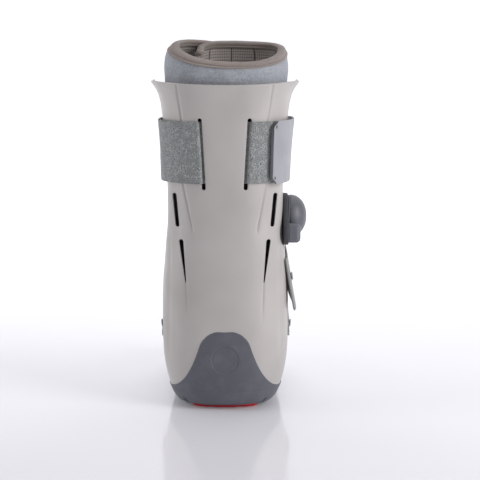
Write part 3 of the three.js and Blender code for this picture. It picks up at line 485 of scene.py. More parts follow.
def make_shell(materials):
    """The rear shell: its open face given a wall, which is thinner round the vents so that their
    edges stay dark from behind."""
    points = shell_face()
    keep = open_shell(points)
    mesh = mesh_from("rear_shell_moulding", [points], keep=keep)
    piece = add_piece("rear_shell_moulding", mesh, ["rear_shell"], materials)
    wall = add_wall(piece, sizes().shell_wall)
    thin = piece.vertex_groups.new(name="Thin at the vents")
    places = np.empty(3 * len(mesh.vertices))
    mesh.vertices.foreach_get("co", places)
    x, y, z = places.reshape(-1, 3).T
    near = np.min([cut_distance(cut, x, z)[0] for cut in VENT_CUTS], 0) < VENT_WALL_REACH
    thin.add(np.flatnonzero(near & (y < BACK_LIMIT)).tolist(), 1.0, "REPLACE")
    wall.vertex_group = thin.name
    wall.invert_vertex_group = True
    wall.thickness_vertex_group = VENT_WALL_SHARE
    add_rounding(piece, 0.0006, 2)


# How much closer the angles round the foot lie at the toe, and the floor plate's outline as a share
# of the shell's, with how far its edge is rounded out
TOE_SPACING = 0.42
PLATE_SHARE, PLATE_ROUND = 0.955, 0.02


def foot_outline(angle, half, back, front):
    """The foot's outline at the shell's base at angles from the back, scaled by three shares: a
    superellipse quarter behind the leg's axis and a longer, squarer one in front of it."""
    plan = shell_plan(np.array([sizes().sole_thick]))
    behind = np.cos(angle) >= 0
    radius = np.where(behind, rounded(angle, BACK_ROUNDING), rounded(angle, TOE_ROUNDING))
    length = np.where(behind, plan[1] * back, plan[3] * front)
    return plan[0] * half * radius * np.sin(angle), -length * radius * np.cos(angle)


def foot_angles(first, last, count):
    """Angles round the foot from the back, closer together towards the toe where rays spread."""
    even = np.linspace(first, last, count)
    return even + TOE_SPACING * np.sin(even)


def make_base_plate(materials):
    """The shell's floor: its outline carried round a half circle at the edge, closed to the middle."""
    s = sizes()
    angle = foot_angles(-np.pi, np.pi, 241)[None, :]
    turn = np.linspace(-np.pi / 2, np.pi / 2, 9)
    to_middle = [0.85, 0.6, 0.3, 0.001]
    edge = PLATE_SHARE + PLATE_ROUND * np.cos(turn)
    share = np.concatenate([to_middle[::-1], edge, to_middle])[:, None]
    rise = np.concatenate([[-1] * 4, np.sin(turn), [1] * 4])[:, None]
    x, y = foot_outline(angle, share, share, share)
    z = s.sole_thick + s.base_plate / 2 * (1 + rise)
    mesh = mesh_from("shell_floor", [np.stack(np.broadcast_arrays(x, y, z), -1)])
    add_piece("shell_floor", mesh, ["rear_shell"], materials)


# Sole

TREAD_PITCH = 0.015
TREAD_BEND = 0.35
TREAD_DEPTH = 0.0022
SOLE_SEAT = 0.3 * MM
PAD_HALF = 0.039
PAD_FRONT = -0.009
PAD_HEIGHT = 0.0065
PAD_DEPTH = 0.0035
PAD_GAP = 0.0008
PAD_EDGE = 0.0026
PAD_PITCH = 0.009

# The grooves beside the pad: distance from the middle at the floor and at a height, half width,
# depth, and the heights between which they fade out
LUG_PLACES, LUG_HEIGHT = (0.0385, 0.0475), 0.0105
LUG_HALF, LUG_DEPTH, LUG_END = 0.0016, 0.0040, (0.0125, 0.0095)

# The heel tab's face against the shell's: where its rounded edge begins, how far the edge rises, its
# width, and how deep the hidden face lies
TAB_SUNK, TAB_RISE, TAB_LIP, TAB_INNER = -0.0006, 0.0014, 0.0013, -0.0014
DISH_DEPTH, DISH_EDGE = 0.0010, 0.0022
RING_RISE, RING_HALF, RING_SHARE = 0.0003, 0.0011, 0.80


def tread_grooves(x, y):
    """Depth of the tread under the sole: grooves across it that bend back towards the sides."""
    wave = np.cos(2 * np.pi * (y + TREAD_BEND * np.abs(x)) / TREAD_PITCH)
    return TREAD_DEPTH * smooth(0.55, 0.85, wave)


def sole_side(level, angle):
    """A point on the sole's side at a share of its thickness and an angle from the back."""
    half, back, front = through_rows(SOLE_ROWS, level)
    x, y = foot_outline(angle, half, back, front)
    return np.stack(np.broadcast_arrays(x, y, level * (sizes().sole_thick - SOLE_SEAT)), -1)


def lug_grooves(points):
    """Depth of the two slanted grooves behind the heel, between the red pad and the side lugs."""
    x, y, z = np.moveaxis(points, -1, 0)
    line = mix(*LUG_PLACES, np.clip(z / LUG_HEIGHT, 0, 1))
    section = np.exp(-((np.abs(x) - line) / LUG_HALF) ** 4)
    return LUG_DEPTH * section * smooth(*LUG_END, z) * smooth(BACK_LIMIT, -0.02, y)


def pad_recess(points):
    """How far the sole draws back where the pad lies, with edges 1 mm wide."""
    edge = 0.5 * MM
    x, y, z = np.moveaxis(points, -1, 0)
    across = smooth(PAD_HALF + edge, PAD_HALF - edge, np.abs(x))
    behind = smooth(PAD_FRONT + edge, PAD_FRONT - edge, y)
    below = smooth(PAD_HEIGHT + 0.8 * edge, PAD_HEIGHT - 0.8 * edge, z)
    return PAD_DEPTH * across * behind * below


def tab_height(across):
    """Height of the heel tab's edge over the sole at a share of the base's half width."""
    return (sizes().tab_top - sizes().sole_thick) * through_rows(TAB_EDGE, np.abs(across))[0]


def tab_point(share, angle, offset):
    """A point of the heel tab on the shell's face, at a share of its height there."""
    s = sizes()
    across = rounded(angle, BACK_ROUNDING) * np.sin(angle)
    z = s.sole_thick - SOLE_SEAT * (1 - share) + tab_height(across) * share
    base_half = shell_plan(np.array([s.sole_thick]))[0]
    x = across * (base_half + offset)
    return np.stack(np.broadcast_arrays(x, -back_at(shell_plan(z), x, offset), z), -1)


def quarter_round(share):
    """The height of a quarter circle at a share of its width, 1 past it."""
    return np.sqrt(np.clip(1 - (1 - np.clip(share, 0, 1)) ** 2, 0, 1))


def tab_offset(share, angle):
    """How proud the tab stands, rounded over at its edge, with the badge's shallow dish and a thin
    raised ring inside it."""
    s = sizes()
    across = rounded(angle, BACK_ROUNDING) * np.sin(angle)
    step = 0.01
    slope = (tab_height(across + step) - tab_height(across - step)) / (2 * step * s.half_width)
    inside = (1 - share) * tab_height(across) / np.sqrt(1 + slope ** 2)
    edge = quarter_round(inside / TAB_LIP)
    x = across * s.half_width
    z = s.sole_thick + tab_height(across) * share
    reach = np.hypot(x, z - s.badge_level)
    dish = DISH_DEPTH * smooth(s.badge_radius, s.badge_radius - DISH_EDGE, reach)
    ring = RING_RISE * np.exp(-((reach - RING_SHARE * s.badge_radius) / RING_HALF) ** 2)
    return TAB_SUNK + TAB_RISE * edge - dish + ring


def make_outsole(materials):
    """The sole is one closed skin: the tread between the two sides, the side from its rim to the
    shell, the tab's outer face up to its edge, and the hidden faces that close it."""
    s = sizes()
    steps = 241
    half_turn = foot_angles(0, np.pi, steps)
    angle = np.concatenate([-half_turn[:0:-1], half_turn])
    level = np.linspace(0, 1, 26)[:, None]
    side = sole_side(level, angle[None, :])
    inward = (lug_grooves(side) + pad_recess(side))[..., None]
    side = side - unit(side * [1, 0.6, 0]) * inward
    x, y = side[0, steps - 1:, 0], side[0, steps - 1:, 1]
    across = np.linspace(-1, 1, 71)[:, None]
    bottom = np.stack(np.broadcast_arrays(across * x, y, 0.0), -1)
    deep = tread_grooves(bottom[..., 0], bottom[..., 1]) * smooth(1, 0.93, np.abs(across))
    pad = pad_recess(bottom)
    bottom[..., 2] = np.maximum(deep * (pad < 1 * MM), pad)
    bottom[[0, -1], :, 2] = side[0, steps - 1:, 2]
    back_angle = np.linspace(-np.pi / 2, np.pi / 2, 301)[None, :]
    share = (1 - (1 - np.linspace(0, 1, 84)) ** 1.6)[:, None]
    outer = tab_point(share, back_angle, tab_offset(share, back_angle))
    inner = tab_point(share[::-1], back_angle, TAB_INNER)
    lid_share = 0.985 * np.array([1.0, 0.6, 0.001])[:, None]
    lid_x, lid_y = foot_outline(angle[None, :], lid_share, lid_share, lid_share)
    lid = np.stack(np.broadcast_arrays(lid_x, lid_y, s.sole_thick - SOLE_SEAT), -1)
    lid = np.concatenate([side[-1:], lid])
    mesh = mesh_from("outsole_rubber", [side, bottom, lid, np.concatenate([outer, inner])])
    add_piece("outsole_rubber", mesh, ["outsole"], materials)


def make_heel_pad(materials):
    """The red pad fills the recess up to the sole's own outline, with grooves across its underside
    and rounded edges."""
    width = np.linspace(-1, 1, 81)[None, :]
    around = np.linspace(0, 1, 61)[:, None]
    x = width * (PAD_HALF - PAD_GAP)
    half, back, _ = through_rows(SOLE_ROWS, 0.1 + 0 * width)
    base = shell_plan(np.array([sizes().sole_thick]))
    reach = np.clip(1 - (np.abs(x) / (base[0] * half)) ** BACK_ROUNDING, 0, 1) ** (1 / BACK_ROUNDING)
    rear = -base[1] * back * reach
    y = mix(PAD_FRONT - PAD_GAP, rear + 2 * PAD_GAP, around)
    soft = quarter_round(np.minimum((1 - np.abs(width)) / 0.16, np.minimum(around, 1 - around) / 0.05))
    grooves = TREAD_DEPTH * smooth(0.6, 0.9, np.cos(2 * np.pi * y / PAD_PITCH)) * smooth(0.2, 0.6, soft)
    x, y, soft = np.broadcast_arrays(x, y, soft)
    low = np.stack([x, y, PAD_EDGE * (1 - soft) + grooves], -1)
    bulge = 0.0022 * smooth(0.9, 1.0, around) * soft
    high = np.stack([x, y - bulge, PAD_EDGE + (PAD_HEIGHT - 0.0005 - PAD_EDGE) * soft], -1)
    mesh = mesh_from("heel_pad_rubber", [low, high])
    add_piece("heel_pad_rubber", mesh, ["heel_pad"], materials)


# Liner

RIM_PLACE = len(LINER_ROWS) - 1
# Degrees round the leg from the back: where the wrap begins and ends, where its inner flap goes under
# the outer one, and where its end begins to curl in, with how far it curls
WRAP_START, WRAP_END = -200, 255
UNDER_ANGLES = (115, 158)
CURL_ANGLE, CURL = 190, 22 * MM
LINER_FLOOR = 0.0289
ROW_SPACING_RIM = 0.0481
ROW_SPACING_TOE = 0.0452
# Map coordinates on the wrap: mean radius inside it, and mean distance between the table's rows
LINING_RADIUS = 0.065
LINING_ROW = 0.045
TAPE_RADIUS = 0.075


def glide(place):
    """The liner's table at places between its rows, on a Catmull-Rom curve through every row."""
    place = np.clip(np.asarray(place, float), 0, RIM_PLACE)
    i = np.clip(place.astype(int), 0, RIM_PLACE - 1)
    t = (place - i)[..., None]
    a, b, c, d = (LINER_ROWS[np.clip(i + k, 0, RIM_PLACE)] for k in (-1, 0, 1, 2))
    curve = b + 0.5 * t * (c - a + t * (2 * a - 5 * b + 4 * c - d + t * (3 * (b - c) + d - a)))
    return np.moveaxis(curve, -1, 0)


def along_foot(share):
    """A length along the foot: up to 1 a share of the leg's room, past that the foot's share plus 1."""
    s = sizes()
    far = s.leg_front + (share - 1) * (s.sole_front - s.leg_front)
    return np.where(share <= 1, share * s.leg_front, far)


# How far the padding stands up at the rim: degrees round the leg from the back, and metres
RIM_LIFT = np.array([
    (-200, -0.005), (-180, -0.003), (-155, 0.002), (-130, 0.0065), (-90, 0.0105), (-60, 0.010), (-30, 0.006),
    (0, 0.0035), (30, 0.0025), (60, 0.0035), (90, 0.0055), (130, 0.0035), (180, 0.0025),
])
# How many rows below the rim the padding begins to stand up, and how far it leans to the right
LIFT_ROWS = 1.7
RIM_LEAN = 2.0 * MM
# The padding swells under the rim: how far, how many rows below it and over how many. At the binding
# it draws in: how far all round, how far more on the left, and over how many degrees
SWELL, SWELL_BELOW, SWELL_ROWS = 2.4 * MM, 0.45, 0.26
DRAW_IN, DRAW_IN_LEFT, LEFT_SPREAD = 1.8 * MM, 4.5 * MM, 42


def shoulder(place, angle):
    """How far the padding swells outwards under the rim and draws in at the binding, most on the
    left."""
    swell = SWELL * np.exp(-((place - RIM_PLACE + SWELL_BELOW) / SWELL_ROWS) ** 2)
    left = np.exp(-((angle + 90) / LEFT_SPREAD) ** 2)
    return swell - (DRAW_IN + DRAW_IN_LEFT * left) * smooth(RIM_PLACE - 0.3, RIM_PLACE, place)


def liner_point(place, angle, offset):
    """A point of the liner: at each place a superellipse in the plane through the section's back and
    front points, at an angle round it in degrees (0 back, 90 right, 180 front), pushed out by an
    offset. Its sole side is squarer."""
    s = sizes()
    place, angle, offset = np.broadcast_arrays(*np.atleast_1d(place, angle, offset))
    offset = offset + shoulder(place, angle)
    back_y, back_z, front_y, front_z, half, flat = glide(place)
    height = s.shell_height + s.liner_rise - LINER_FLOOR
    back_z, front_z = LINER_FLOOR + back_z * height, LINER_FLOOR + front_z * height
    rise = s.shell_height - s.sole_thick
    flare = s.sole_thick + 0.93 * rise
    room = shell_plan(np.minimum(back_z, flare))[1] - s.shell_wall - s.strap_thick - 1 * MM
    back_y = np.where(back_y < 0, back_y * room, along_foot(back_y))
    front_y = along_foot(front_y)
    middle = (back_y + front_y) / 2
    level = np.clip((back_z + front_z) / 2, s.sole_thick + 0.07 * rise, flare)
    plan = shell_plan(level)
    reach = mix(s.sole_front, plan[3], smooth(0.1, 0.3, (level - s.sole_thick) / rise))
    walls = side_at((plan[0], plan[1], plan[2], reach), np.maximum(middle, 0))
    half = half * (walls - s.shell_wall) + offset
    length = np.hypot(front_y - back_y, front_z - back_z)
    turn = np.radians(angle)
    square = mix(LINER_ROUNDING, SOLE_ROUNDING, np.clip(flat, 0, 1))
    exponent = np.where(np.cos(turn) > 0, square, LINER_ROUNDING)
    radius = rounded(turn, exponent)
    along = -(length / 2 + offset) * radius * np.cos(turn) / length
    lift = through_rows(RIM_LIFT, np.clip(angle, WRAP_START, 180))[0]
    lift = lift * smooth(RIM_PLACE - LIFT_ROWS, RIM_PLACE, place)
    lean = RIM_LEAN * smooth(RIM_PLACE - 1.4, RIM_PLACE - 0.2, place)
    return np.stack([half * radius * np.sin(turn) + lean, middle + along * (front_y - back_y),
                     (back_z + front_z) / 2 + along * (front_z - back_z) + lift], -1)


def wrap_inset(angle, place):
    """How far the wrap lies inside the outside: nothing on the outer turn, a wall and a gap where it
    goes under the outer flap, and more at the rim, where its end curls into the leg's room."""
    rim = smooth(RIM_PLACE - 2.5, RIM_PLACE, place)
    under = smooth(*UNDER_ANGLES, angle) * (sizes().liner_wall + mix(1, 3, rim) * MM)
    return under + smooth(CURL_ANGLE, WRAP_END, angle) * CURL * rim


def puffs(angle, place):
    """Soft unevenness of the padding: slow waves along and round the wrap, up to 0.8 mm."""
    first = np.sin(np.radians(angle) * 3.1 + place * 1.7) * np.sin(place * 2.3 + 0.6)
    second = np.sin(np.radians(angle) * 7.3 - place * 2.9) * np.sin(place * 4.1 + np.radians(angle) * 2)
    return 0.0005 * first + 0.0003 * second


def make_liner(materials):
    """The liner is one padded wrap: a band round its wall, outside from one end to the other, round
    the flap's end, back along the inside and round the other end, carried from toe to rim."""
    s = sizes()
    wall = s.liner_wall
    cap = np.linspace(0, np.pi, 9)[1:-1]
    even = np.linspace(WRAP_START, WRAP_END, 250)
    cap_degrees = 3.2 * np.sin(cap)
    angle = np.concatenate([even, WRAP_END + cap_degrees, even[::-1], WRAP_START - cap_degrees, even[:1]])
    down = wall / 2 * (1 - np.cos(cap))
    depth = np.concatenate([0 * even, down, wall + 0 * even, down[::-1], [0]])
    start, end = end_place(s.binding_height, False), end_place(s.binding_height, True)
    # The rows stand closer together from the calf up
    calf = 9
    place = np.concatenate([np.linspace(start, calf, 84), np.linspace(calf, end, 66)[1:]])[:, None]
    swell = puffs(angle[None, :], place) * (1 - depth / wall)[None, :]
    points = liner_point(place, angle[None, :], -wrap_inset(angle[None, :], place) - depth[None, :] + swell)
    uv = np.stack(np.broadcast_arrays(np.radians(angle) * LINING_RADIUS, place * LINING_ROW), -1)
    lining = (depth[:-1] > wall / 2) & (depth[1:] > wall / 2)
    _, y, z = np.moveaxis(points[:-1, :-1], -1, 0)
    # Faces behind the leg and below the shell's top take the near-black third material: painted shadow of the
    # rear shell on the liner, seen through the vents
    in_shell_shadow = ~lining & (y < -0.004) & (z < s.shell_height - 0.02)
    mesh = mesh_from("liner_padding", [points], uv=uv, finish=(lining + 2 * in_shell_shadow).astype(np.int32))
    piece = add_piece("liner_padding", mesh, ["liner"], materials)


TAPE_PROUD = 1.1 * MM
PIPING_RADIUS = 1.6 * MM
TAPE_RIB = 0.12 * MM
STITCH_RADIUS = 0.42 * MM
# Degrees from one stitch to the next, and half of a stitch's length
STITCH_PITCH, STITCH_HALF = 4.0, 1.35


def binding_profile(height, wall):
    """The tape's section as depth into the wall and height below its crown: a flat band outside, a
    piping below it, a round crown over the wall, and the same inside."""
    crown = np.linspace(0, np.pi, 13)
    half = wall / 2 + TAPE_PROUD
    side = half * 0.75
    over = np.stack([wall / 2 - half * np.cos(crown), side * (1 - np.sin(crown))], -1)
    piping = np.linspace(0, np.pi, 8)
    pipe = height - 2 * PIPING_RADIUS
    bead = np.stack([-0.3 * MM - 1.5 * MM * np.sin(piping), pipe + PIPING_RADIUS * (1 - np.cos(piping))], -1)
    # From the notch over the piping out to the middle of the band
    notch, edge = (-0.2 * MM, pipe - 0.3 * MM), (-1.0 * MM, pipe - 0.9 * MM)
    tape = np.array([notch, edge, (-1.25 * MM, (pipe + side) / 2)])
    outside = np.concatenate([bead[::-1], tape])
    inside = outside[::-1] * [-1, 1] + [wall, 0]
    return np.concatenate([outside, over, inside, outside[:1]])


def end_place(below, at_rim):
    """The place in the liner's table at a distance from the wrap's rim, or from its toe end."""
    return RIM_PLACE - below / ROW_SPACING_RIM if at_rim else below / ROW_SPACING_TOE


def make_binding(name, node, materials, at_rim):
    """The tape's section carried round the wrap's end, from one end of the wrap to the other."""
    s = sizes()
    profile = binding_profile(s.binding_height, s.liner_wall)
    angle = np.linspace(WRAP_START - 1.5, WRAP_END + 1.5, 380)[:, None]
    depth, below = profile.T
    place = end_place(below, at_rim)
    ribs = TAPE_RIB * np.sin(angle * 6.5) * (below < s.binding_height - 2 * PIPING_RADIUS - 0.2 * MM)
    outward = np.where(depth < s.liner_wall / 2, ribs, -ribs)
    points = liner_point(place, angle, outward - wrap_inset(angle, place) - depth)
    points = closed_ends(points.swapaxes(0, 1)).swapaxes(0, 1)
    along = np.concatenate([angle[:1], angle, angle[-1:]])
    uv = np.stack(np.broadcast_arrays(np.radians(along) * TAPE_RADIUS, below), -1)
    mesh = mesh_from(name, [points], uv=uv)
    add_piece(name, mesh, [node], materials)


def make_stitches(name, node, materials, at_rim):
    """A row of short round stitches between the tape and its piping, outside and inside."""
    s = sizes()
    seam = s.binding_height - 2 * PIPING_RADIUS - 0.4 * MM
    middle = np.arange(WRAP_START + 4, WRAP_END - 2, STITCH_PITCH)[:, None, None]
    run = np.linspace(-1, 1, 5)[:, None]
    section = np.linspace(0, 2 * np.pi, 7)
    thick = STITCH_RADIUS * np.sqrt(np.clip(1.02 - run ** 2, 0.02, 1))
    angle = middle + STITCH_HALF * run
    place = end_place(seam + thick * np.sin(section), at_rim)
    grids = []
    for depth in (-0.55 * MM, s.liner_wall + 0.55 * MM):
        away = thick * np.cos(section) - depth
        grids.extend(liner_point(place, angle, away - wrap_inset(angle, place)))
    mesh = mesh_from(name, grids)
    add_piece(name, mesh, [node], materials)


# Shin panel and straps

PANEL_GAP = 1.2 * MM
PANEL_WALL = 3 * MM
PANEL_HALF_ANGLE = 56
PANEL_LOW, PANEL_HIGH = 4.6, RIM_PLACE - 0.9
# Shares of the panel's length over which its ends are rounded, its width there, and its ribs: place
# as a share of its half width, half width, height, and where they fade in and out along the panel
PANEL_FOOT, PANEL_HEAD, PANEL_NARROW, PANEL_CORNER = 0.16, 0.12, 0.62, 2.5
RIB_PLACE, RIB_HALF, RIB_RISE, RIB_ENDS = 0.45, 0.06, 0.0009, ((0.12, 0.3), (0.92, 0.75))


def panel_face(place, share, offset):
    """A point of the shin panel at a share of its half angle, over the liner's front."""
    return liner_point(place, 180 + PANEL_HALF_ANGLE * share, offset + PANEL_GAP)


def make_front_shell(materials):
    """The shin panel's face: it narrows to both ends on a quarter superellipse, with two long ribs."""
    run = np.linspace(0, 1, 150)[:, None]
    place = mix(PANEL_LOW, PANEL_HIGH, run)
    to_end = 1 - np.clip(np.minimum(run / PANEL_FOOT, (1 - run) / PANEL_HEAD), 0, 1)
    width = mix(PANEL_NARROW, 1, (1 - to_end ** PANEL_CORNER) ** (1 / PANEL_CORNER))
    across = np.linspace(-1, 1, 91)[None, :]
    rib = groove(np.abs(across) - RIB_PLACE, run, RIB_HALF, RIB_RISE, *RIB_ENDS)
    points = panel_face(place, across * width, PANEL_WALL + rib)
    mesh = mesh_from("shin_panel", [points])
    piece = add_piece("shin_panel", mesh, ["front_shell"], materials)
    add_wall(piece, PANEL_WALL)
    add_rounding(piece, 0.0009, 3)


def leg_outline(z, right_only=False):
    """Plan points of the shell's wall and the shin panel at heights z, one row for each height. The
    ankle strap asks for the right wall only, because it ends at the front."""
    plan = [value[:, None] for value in shell_plan(z)]
    turn = np.radians(np.linspace(-90, 90, 61))[None, :]
    radius = rounded(turn, BACK_ROUNDING)
    back = np.stack([plan[0] * radius * np.sin(turn), -plan[1] * radius * np.cos(turn)], -1)
    ahead = plan[2] * np.linspace(0, 1, 12)[None, :]
    side = np.stack([side_at(plan, ahead), ahead], -1)
    shell = np.concatenate([back, side, side * [-1, 1]], 1)
    if right_only:
        shell = np.where(shell[..., :1] > 0, shell, 0)
    place = np.linspace(PANEL_LOW, RIM_PLACE, 120)[:, None]
    grid = panel_face(place, np.linspace(-1, 1, 25)[None, :], PANEL_WALL)
    panel = np.stack([np.stack([np.interp(z, column[:, 2], column[:, k]) for k in (0, 1)], -1)
                      for column in grid.transpose(1, 0, 2)], 1)
    return np.concatenate([shell, panel], 1)


# Below this cosine, a line that touches the outline is too far aside to be the nearest
GRAZING = 0.05


def girdle(points, angle, offset):
    """A taut band's plan distance from the leg's axis at angles in degrees from the back: of all the
    lines that touch the outline, pushed out by an offset, the nearest one in that direction."""
    normal = np.radians(np.arange(0, 360, 1.5))
    directions = np.stack([np.sin(normal), -np.cos(normal)])
    support = (points @ directions).max(1)[:, None, :] + offset[..., None]
    facing = np.cos(np.radians(angle)[..., None] - normal)
    return np.where(facing > GRAZING, support / np.maximum(facing, GRAZING), np.inf).min(-1)


def in_plan(angle, radius):
    """Plan points at angles in degrees from the back and distances from the leg's axis."""
    turn = np.radians(angle)
    return np.stack([radius * np.sin(turn), -radius * np.cos(turn)], -1)


def b_spline(control, samples):
    """A uniform cubic B-spline through rows of control points, sampled evenly in each span, with its
    first and last control point repeated so that it starts and ends there."""
    control = np.concatenate([control[:, :1]] * 2 + [control] + [control[:, -1:]] * 2, 1)
    spans = control.shape[1] - 3
    at = np.linspace(0, spans, spans * samples + 1)
    i = np.minimum(at.astype(int), spans - 1)
    t = (at - i)[None, :, None]
    a, b, c, d = (control[:, i + k] for k in range(4))
    return ((1 - t) ** 3 * a + (3 * t ** 3 - 6 * t ** 2 + 4) * b
            + (-3 * t ** 3 + 3 * t ** 2 + 3 * t + 1) * c + t ** 3 * d) / 6


def strap_section(width, thick, count=30, exponent=7.0):
    """A strap's section as heights from its middle and distances from its middle surface: a
    superellipse, nearly flat with round edges."""
    turn = np.linspace(0, 2 * np.pi, 4 * count + 1)
    shape = 2 / exponent
    height = np.sign(np.cos(turn)) * np.abs(np.cos(turn)) ** (1.15 * shape + 0.2)
    out = np.sign(np.sin(turn)) * np.abs(np.sin(turn)) ** shape
    return height * width / 2, out * thick / 2


def closed_ends(points):
    """A tube's grid with a column more at both ends, drawn together to the middle of that end."""
    middles = points[:, [0, -1]].mean(0, keepdims=True)
    middles = np.broadcast_to(middles, (len(points), 2, 3))
    return np.concatenate([middles[:, :1], points, middles[:, 1:]], 1)


def band(path, z, away):
    """A closed strap: rows of plan points, one row for each point of the section, moved along the
    path's normal by the distances away, set at heights z and closed to the middle at both ends."""
    step = np.gradient(path, axis=1)
    normal = unit(np.stack([-step[..., 1], step[..., 0]], -1))
    x, y = np.moveaxis(path + normal * away[..., None], -1, 0)
    return closed_ends(np.stack(np.broadcast_arrays(x, y, z), -1))


def pile(rows, columns, depth, seed):
    """Loop pile as a height field round a strap's section, whose last row is the first one again:
    seeded noise smoothed once along both directions."""
    noise = np.random.default_rng(seed).random((rows - 1, columns)) - 0.5
    soft = (noise + np.roll(noise, 1, 0) + np.roll(noise, 1, 1) + np.roll(noise, -1, 0)) / 2
    return depth * np.concatenate([soft, soft[:1]])


LAYER = 1.5 * MM
CALF_LOOPS, FOOT_LOOPS = 0.5 * MM, 0.4 * MM
# The calf strap's slack on the left at its lower and upper edge
SLACK_LOW, SLACK_HIGH = 4.6 * MM, 2.8 * MM
# Steps of the calf strap through a slot: distance from its middle and depth under the shell's face
SLOT_STEPS = np.array([
    (5.5, -1.6), (3.9, -1.5), (2.4, -1.2), (1.7, 0.5), (1.4, 2.6), (0.6, 4.4), (-2.5, 4.8),
]) * MM


def calf_path(z):
    """The calf strap's plan path at heights z: from the right side back to the right slot, through
    it and behind the liner to the left slot, and round the left side and the shin to the right."""
    s = sizes()
    outline = leg_outline(z)
    plan = shell_plan(z)
    slot = line_at(SLOT_LINE, z)[:, None]
    off = np.full((len(z), 1), LAYER)
    right_angle = np.linspace(104, 32, 14)[None, :]
    left_angle = np.linspace(-32, -232, 34)[None, :]
    right = in_plan(right_angle, girdle(outline, right_angle, off))
    slack = mix(SLACK_LOW, SLACK_HIGH, (z - z.min()) / np.ptp(z))[:, None]
    slack = slack * smooth(-38, -72, left_angle) * smooth(-150, -105, left_angle)
    left = in_plan(left_angle, girdle(outline, left_angle, off) + slack)
    x = slot + SLOT_STEPS[None, :, 0]
    columns = [value[:, None] for value in plan]
    through = np.stack([x, -back_at(columns, x) + SLOT_STEPS[None, :, 1]], -1)
    inner_x = slot * np.linspace(0.75, -0.75, 5)[None, :]
    inside = np.stack([inner_x, -back_at(columns, inner_x, -s.shell_wall) + LAYER], -1)
    control = np.concatenate([right, through, inside, through[:, ::-1] * [-1, 1], left], 1)
    return b_spline(control, 5)


def make_calf_strap(materials):
    """The calf strap's pile stands on both faces, so it is a fifth thicker than the bare strap."""
    s = sizes()
    height, out = strap_section(s.strap_width, s.strap_thick * 1.2)
    z = s.strap_level + height
    path = calf_path(z)
    relief = pile(*path.shape[:2], CALF_LOOPS, seed=3) * np.sign(out)[:, None]
    mesh = mesh_from("calf_strap_pile", [band(path, z[:, None], out[:, None] + relief)])
    add_piece("calf_strap_pile", mesh, ["calf_strap"], materials)


# The hook tab: degrees at its front and rear end and how much its corners are set back, thickness,
# distance from the leg, how far it bows out at the side and lifts at its rear end, and its rolled edge
TAB_FRONT, TAB_REAR, TAB_CORNER = 138, 41.4, 4.5
TAB_THICK, TAB_OFF, TAB_BOW, TAB_LIFT, TAB_ROLL = 2.4 * MM, 4.3 * MM, 2.6 * MM, 3 * MM, 0.75


def make_calf_tab(materials):
    """The hook tab lies on the strap's end. Its rear end has a thick rolled edge, set back at both
    corners, so its angle there follows the height."""
    s = sizes()
    width = s.strap_width + 2 * MM
    height, out = strap_section(width, TAB_THICK)
    z = s.strap_level + height
    corner = smooth(0.78, 1.0, np.abs(height) / (width / 2))[:, None]
    run = np.linspace(0, 1, 130)[None, :]
    angle = mix(TAB_FRONT, TAB_REAR + TAB_CORNER * corner, run)
    bow = TAB_BOW * smooth(44, 85, angle) * smooth(TAB_FRONT, 105, angle)
    lifted = TAB_LIFT * smooth(74, 48, angle)
    radius = girdle(leg_outline(z), angle, np.full((len(z), 1), TAB_OFF)) + bow + lifted
    roll = 1 + TAB_ROLL * np.exp(-((1 - run) / 0.035) ** 2)
    mesh = mesh_from("calf_hook_tab", [band(in_plan(angle, radius), z[:, None], out[:, None] * roll)])
    add_piece("calf_hook_tab", mesh, ["calf_strap_tab"], materials)


ANKLE_TILT = 0.22
ANKLE_START, ANKLE_END = 70, 236
ANKLE_SPLAY = 0.008
ANKLE_LEVELS = 30
WEBBING_RIB = 0.08 * MM
WEBBING_PITCH = 1.8 * MM
THIN_STRAP = 2.2 * MM


def ankle_face(share, angle):
    """The ankle strap's middle surface at a share of its width and an angle round the leg: it hugs
    the leg, rises towards the front, and splays at the lower edge of its rear end."""
    s = sizes()
    flat = s.ankle_level + share * s.ankle_width
    off = np.full((len(flat), 1), LAYER)
    forward = np.maximum(in_plan(angle, girdle(leg_outline(flat, True), angle, off))[..., 1], 0)
    z = flat[:, None] + ANKLE_TILT * forward
    levels = np.linspace(z.min(), z.max(), ANKLE_LEVELS)
    hugging = girdle(leg_outline(levels, True), angle, np.full((ANKLE_LEVELS, 1), LAYER + 0.5 * MM))
    row = (z - levels[0]) / (levels[1] - levels[0])
    low = np.clip(row.astype(int), 0, ANKLE_LEVELS - 2)
    column = np.broadcast_to(np.arange(angle.size), z.shape)
    radius = mix(hugging[low, column], hugging[low + 1, column], row - low)
    radius = radius + ANKLE_SPLAY * (0.5 - share[:, None]) ** 1.5 * smooth(130, ANKLE_START, angle)
    return in_plan(angle, radius), z


def make_ankle_strap(materials):
    """The ankle strap runs from its loose end on the right across the front, ribbed along its length."""
    width = sizes().ankle_width
    height, out = strap_section(width, THIN_STRAP, 22)
    angle = np.linspace(ANKLE_START, ANKLE_END, 210)[None, :]
    path, z = ankle_face(height / width, angle)
    ribs = WEBBING_RIB * np.sin(2 * np.pi * height / WEBBING_PITCH) * np.sign(out)
    mesh = mesh_from("ankle_strap_webbing", [band(path, z, (out + ribs)[:, None])])
    add_piece("ankle_strap_webbing", mesh, ["ankle_strap"], materials)


FOOT_STRAP_PLACE = 3.45
FOOT_STRAP_SPREAD = 97
FOOT_STRAP_OFF = 2.4 * MM


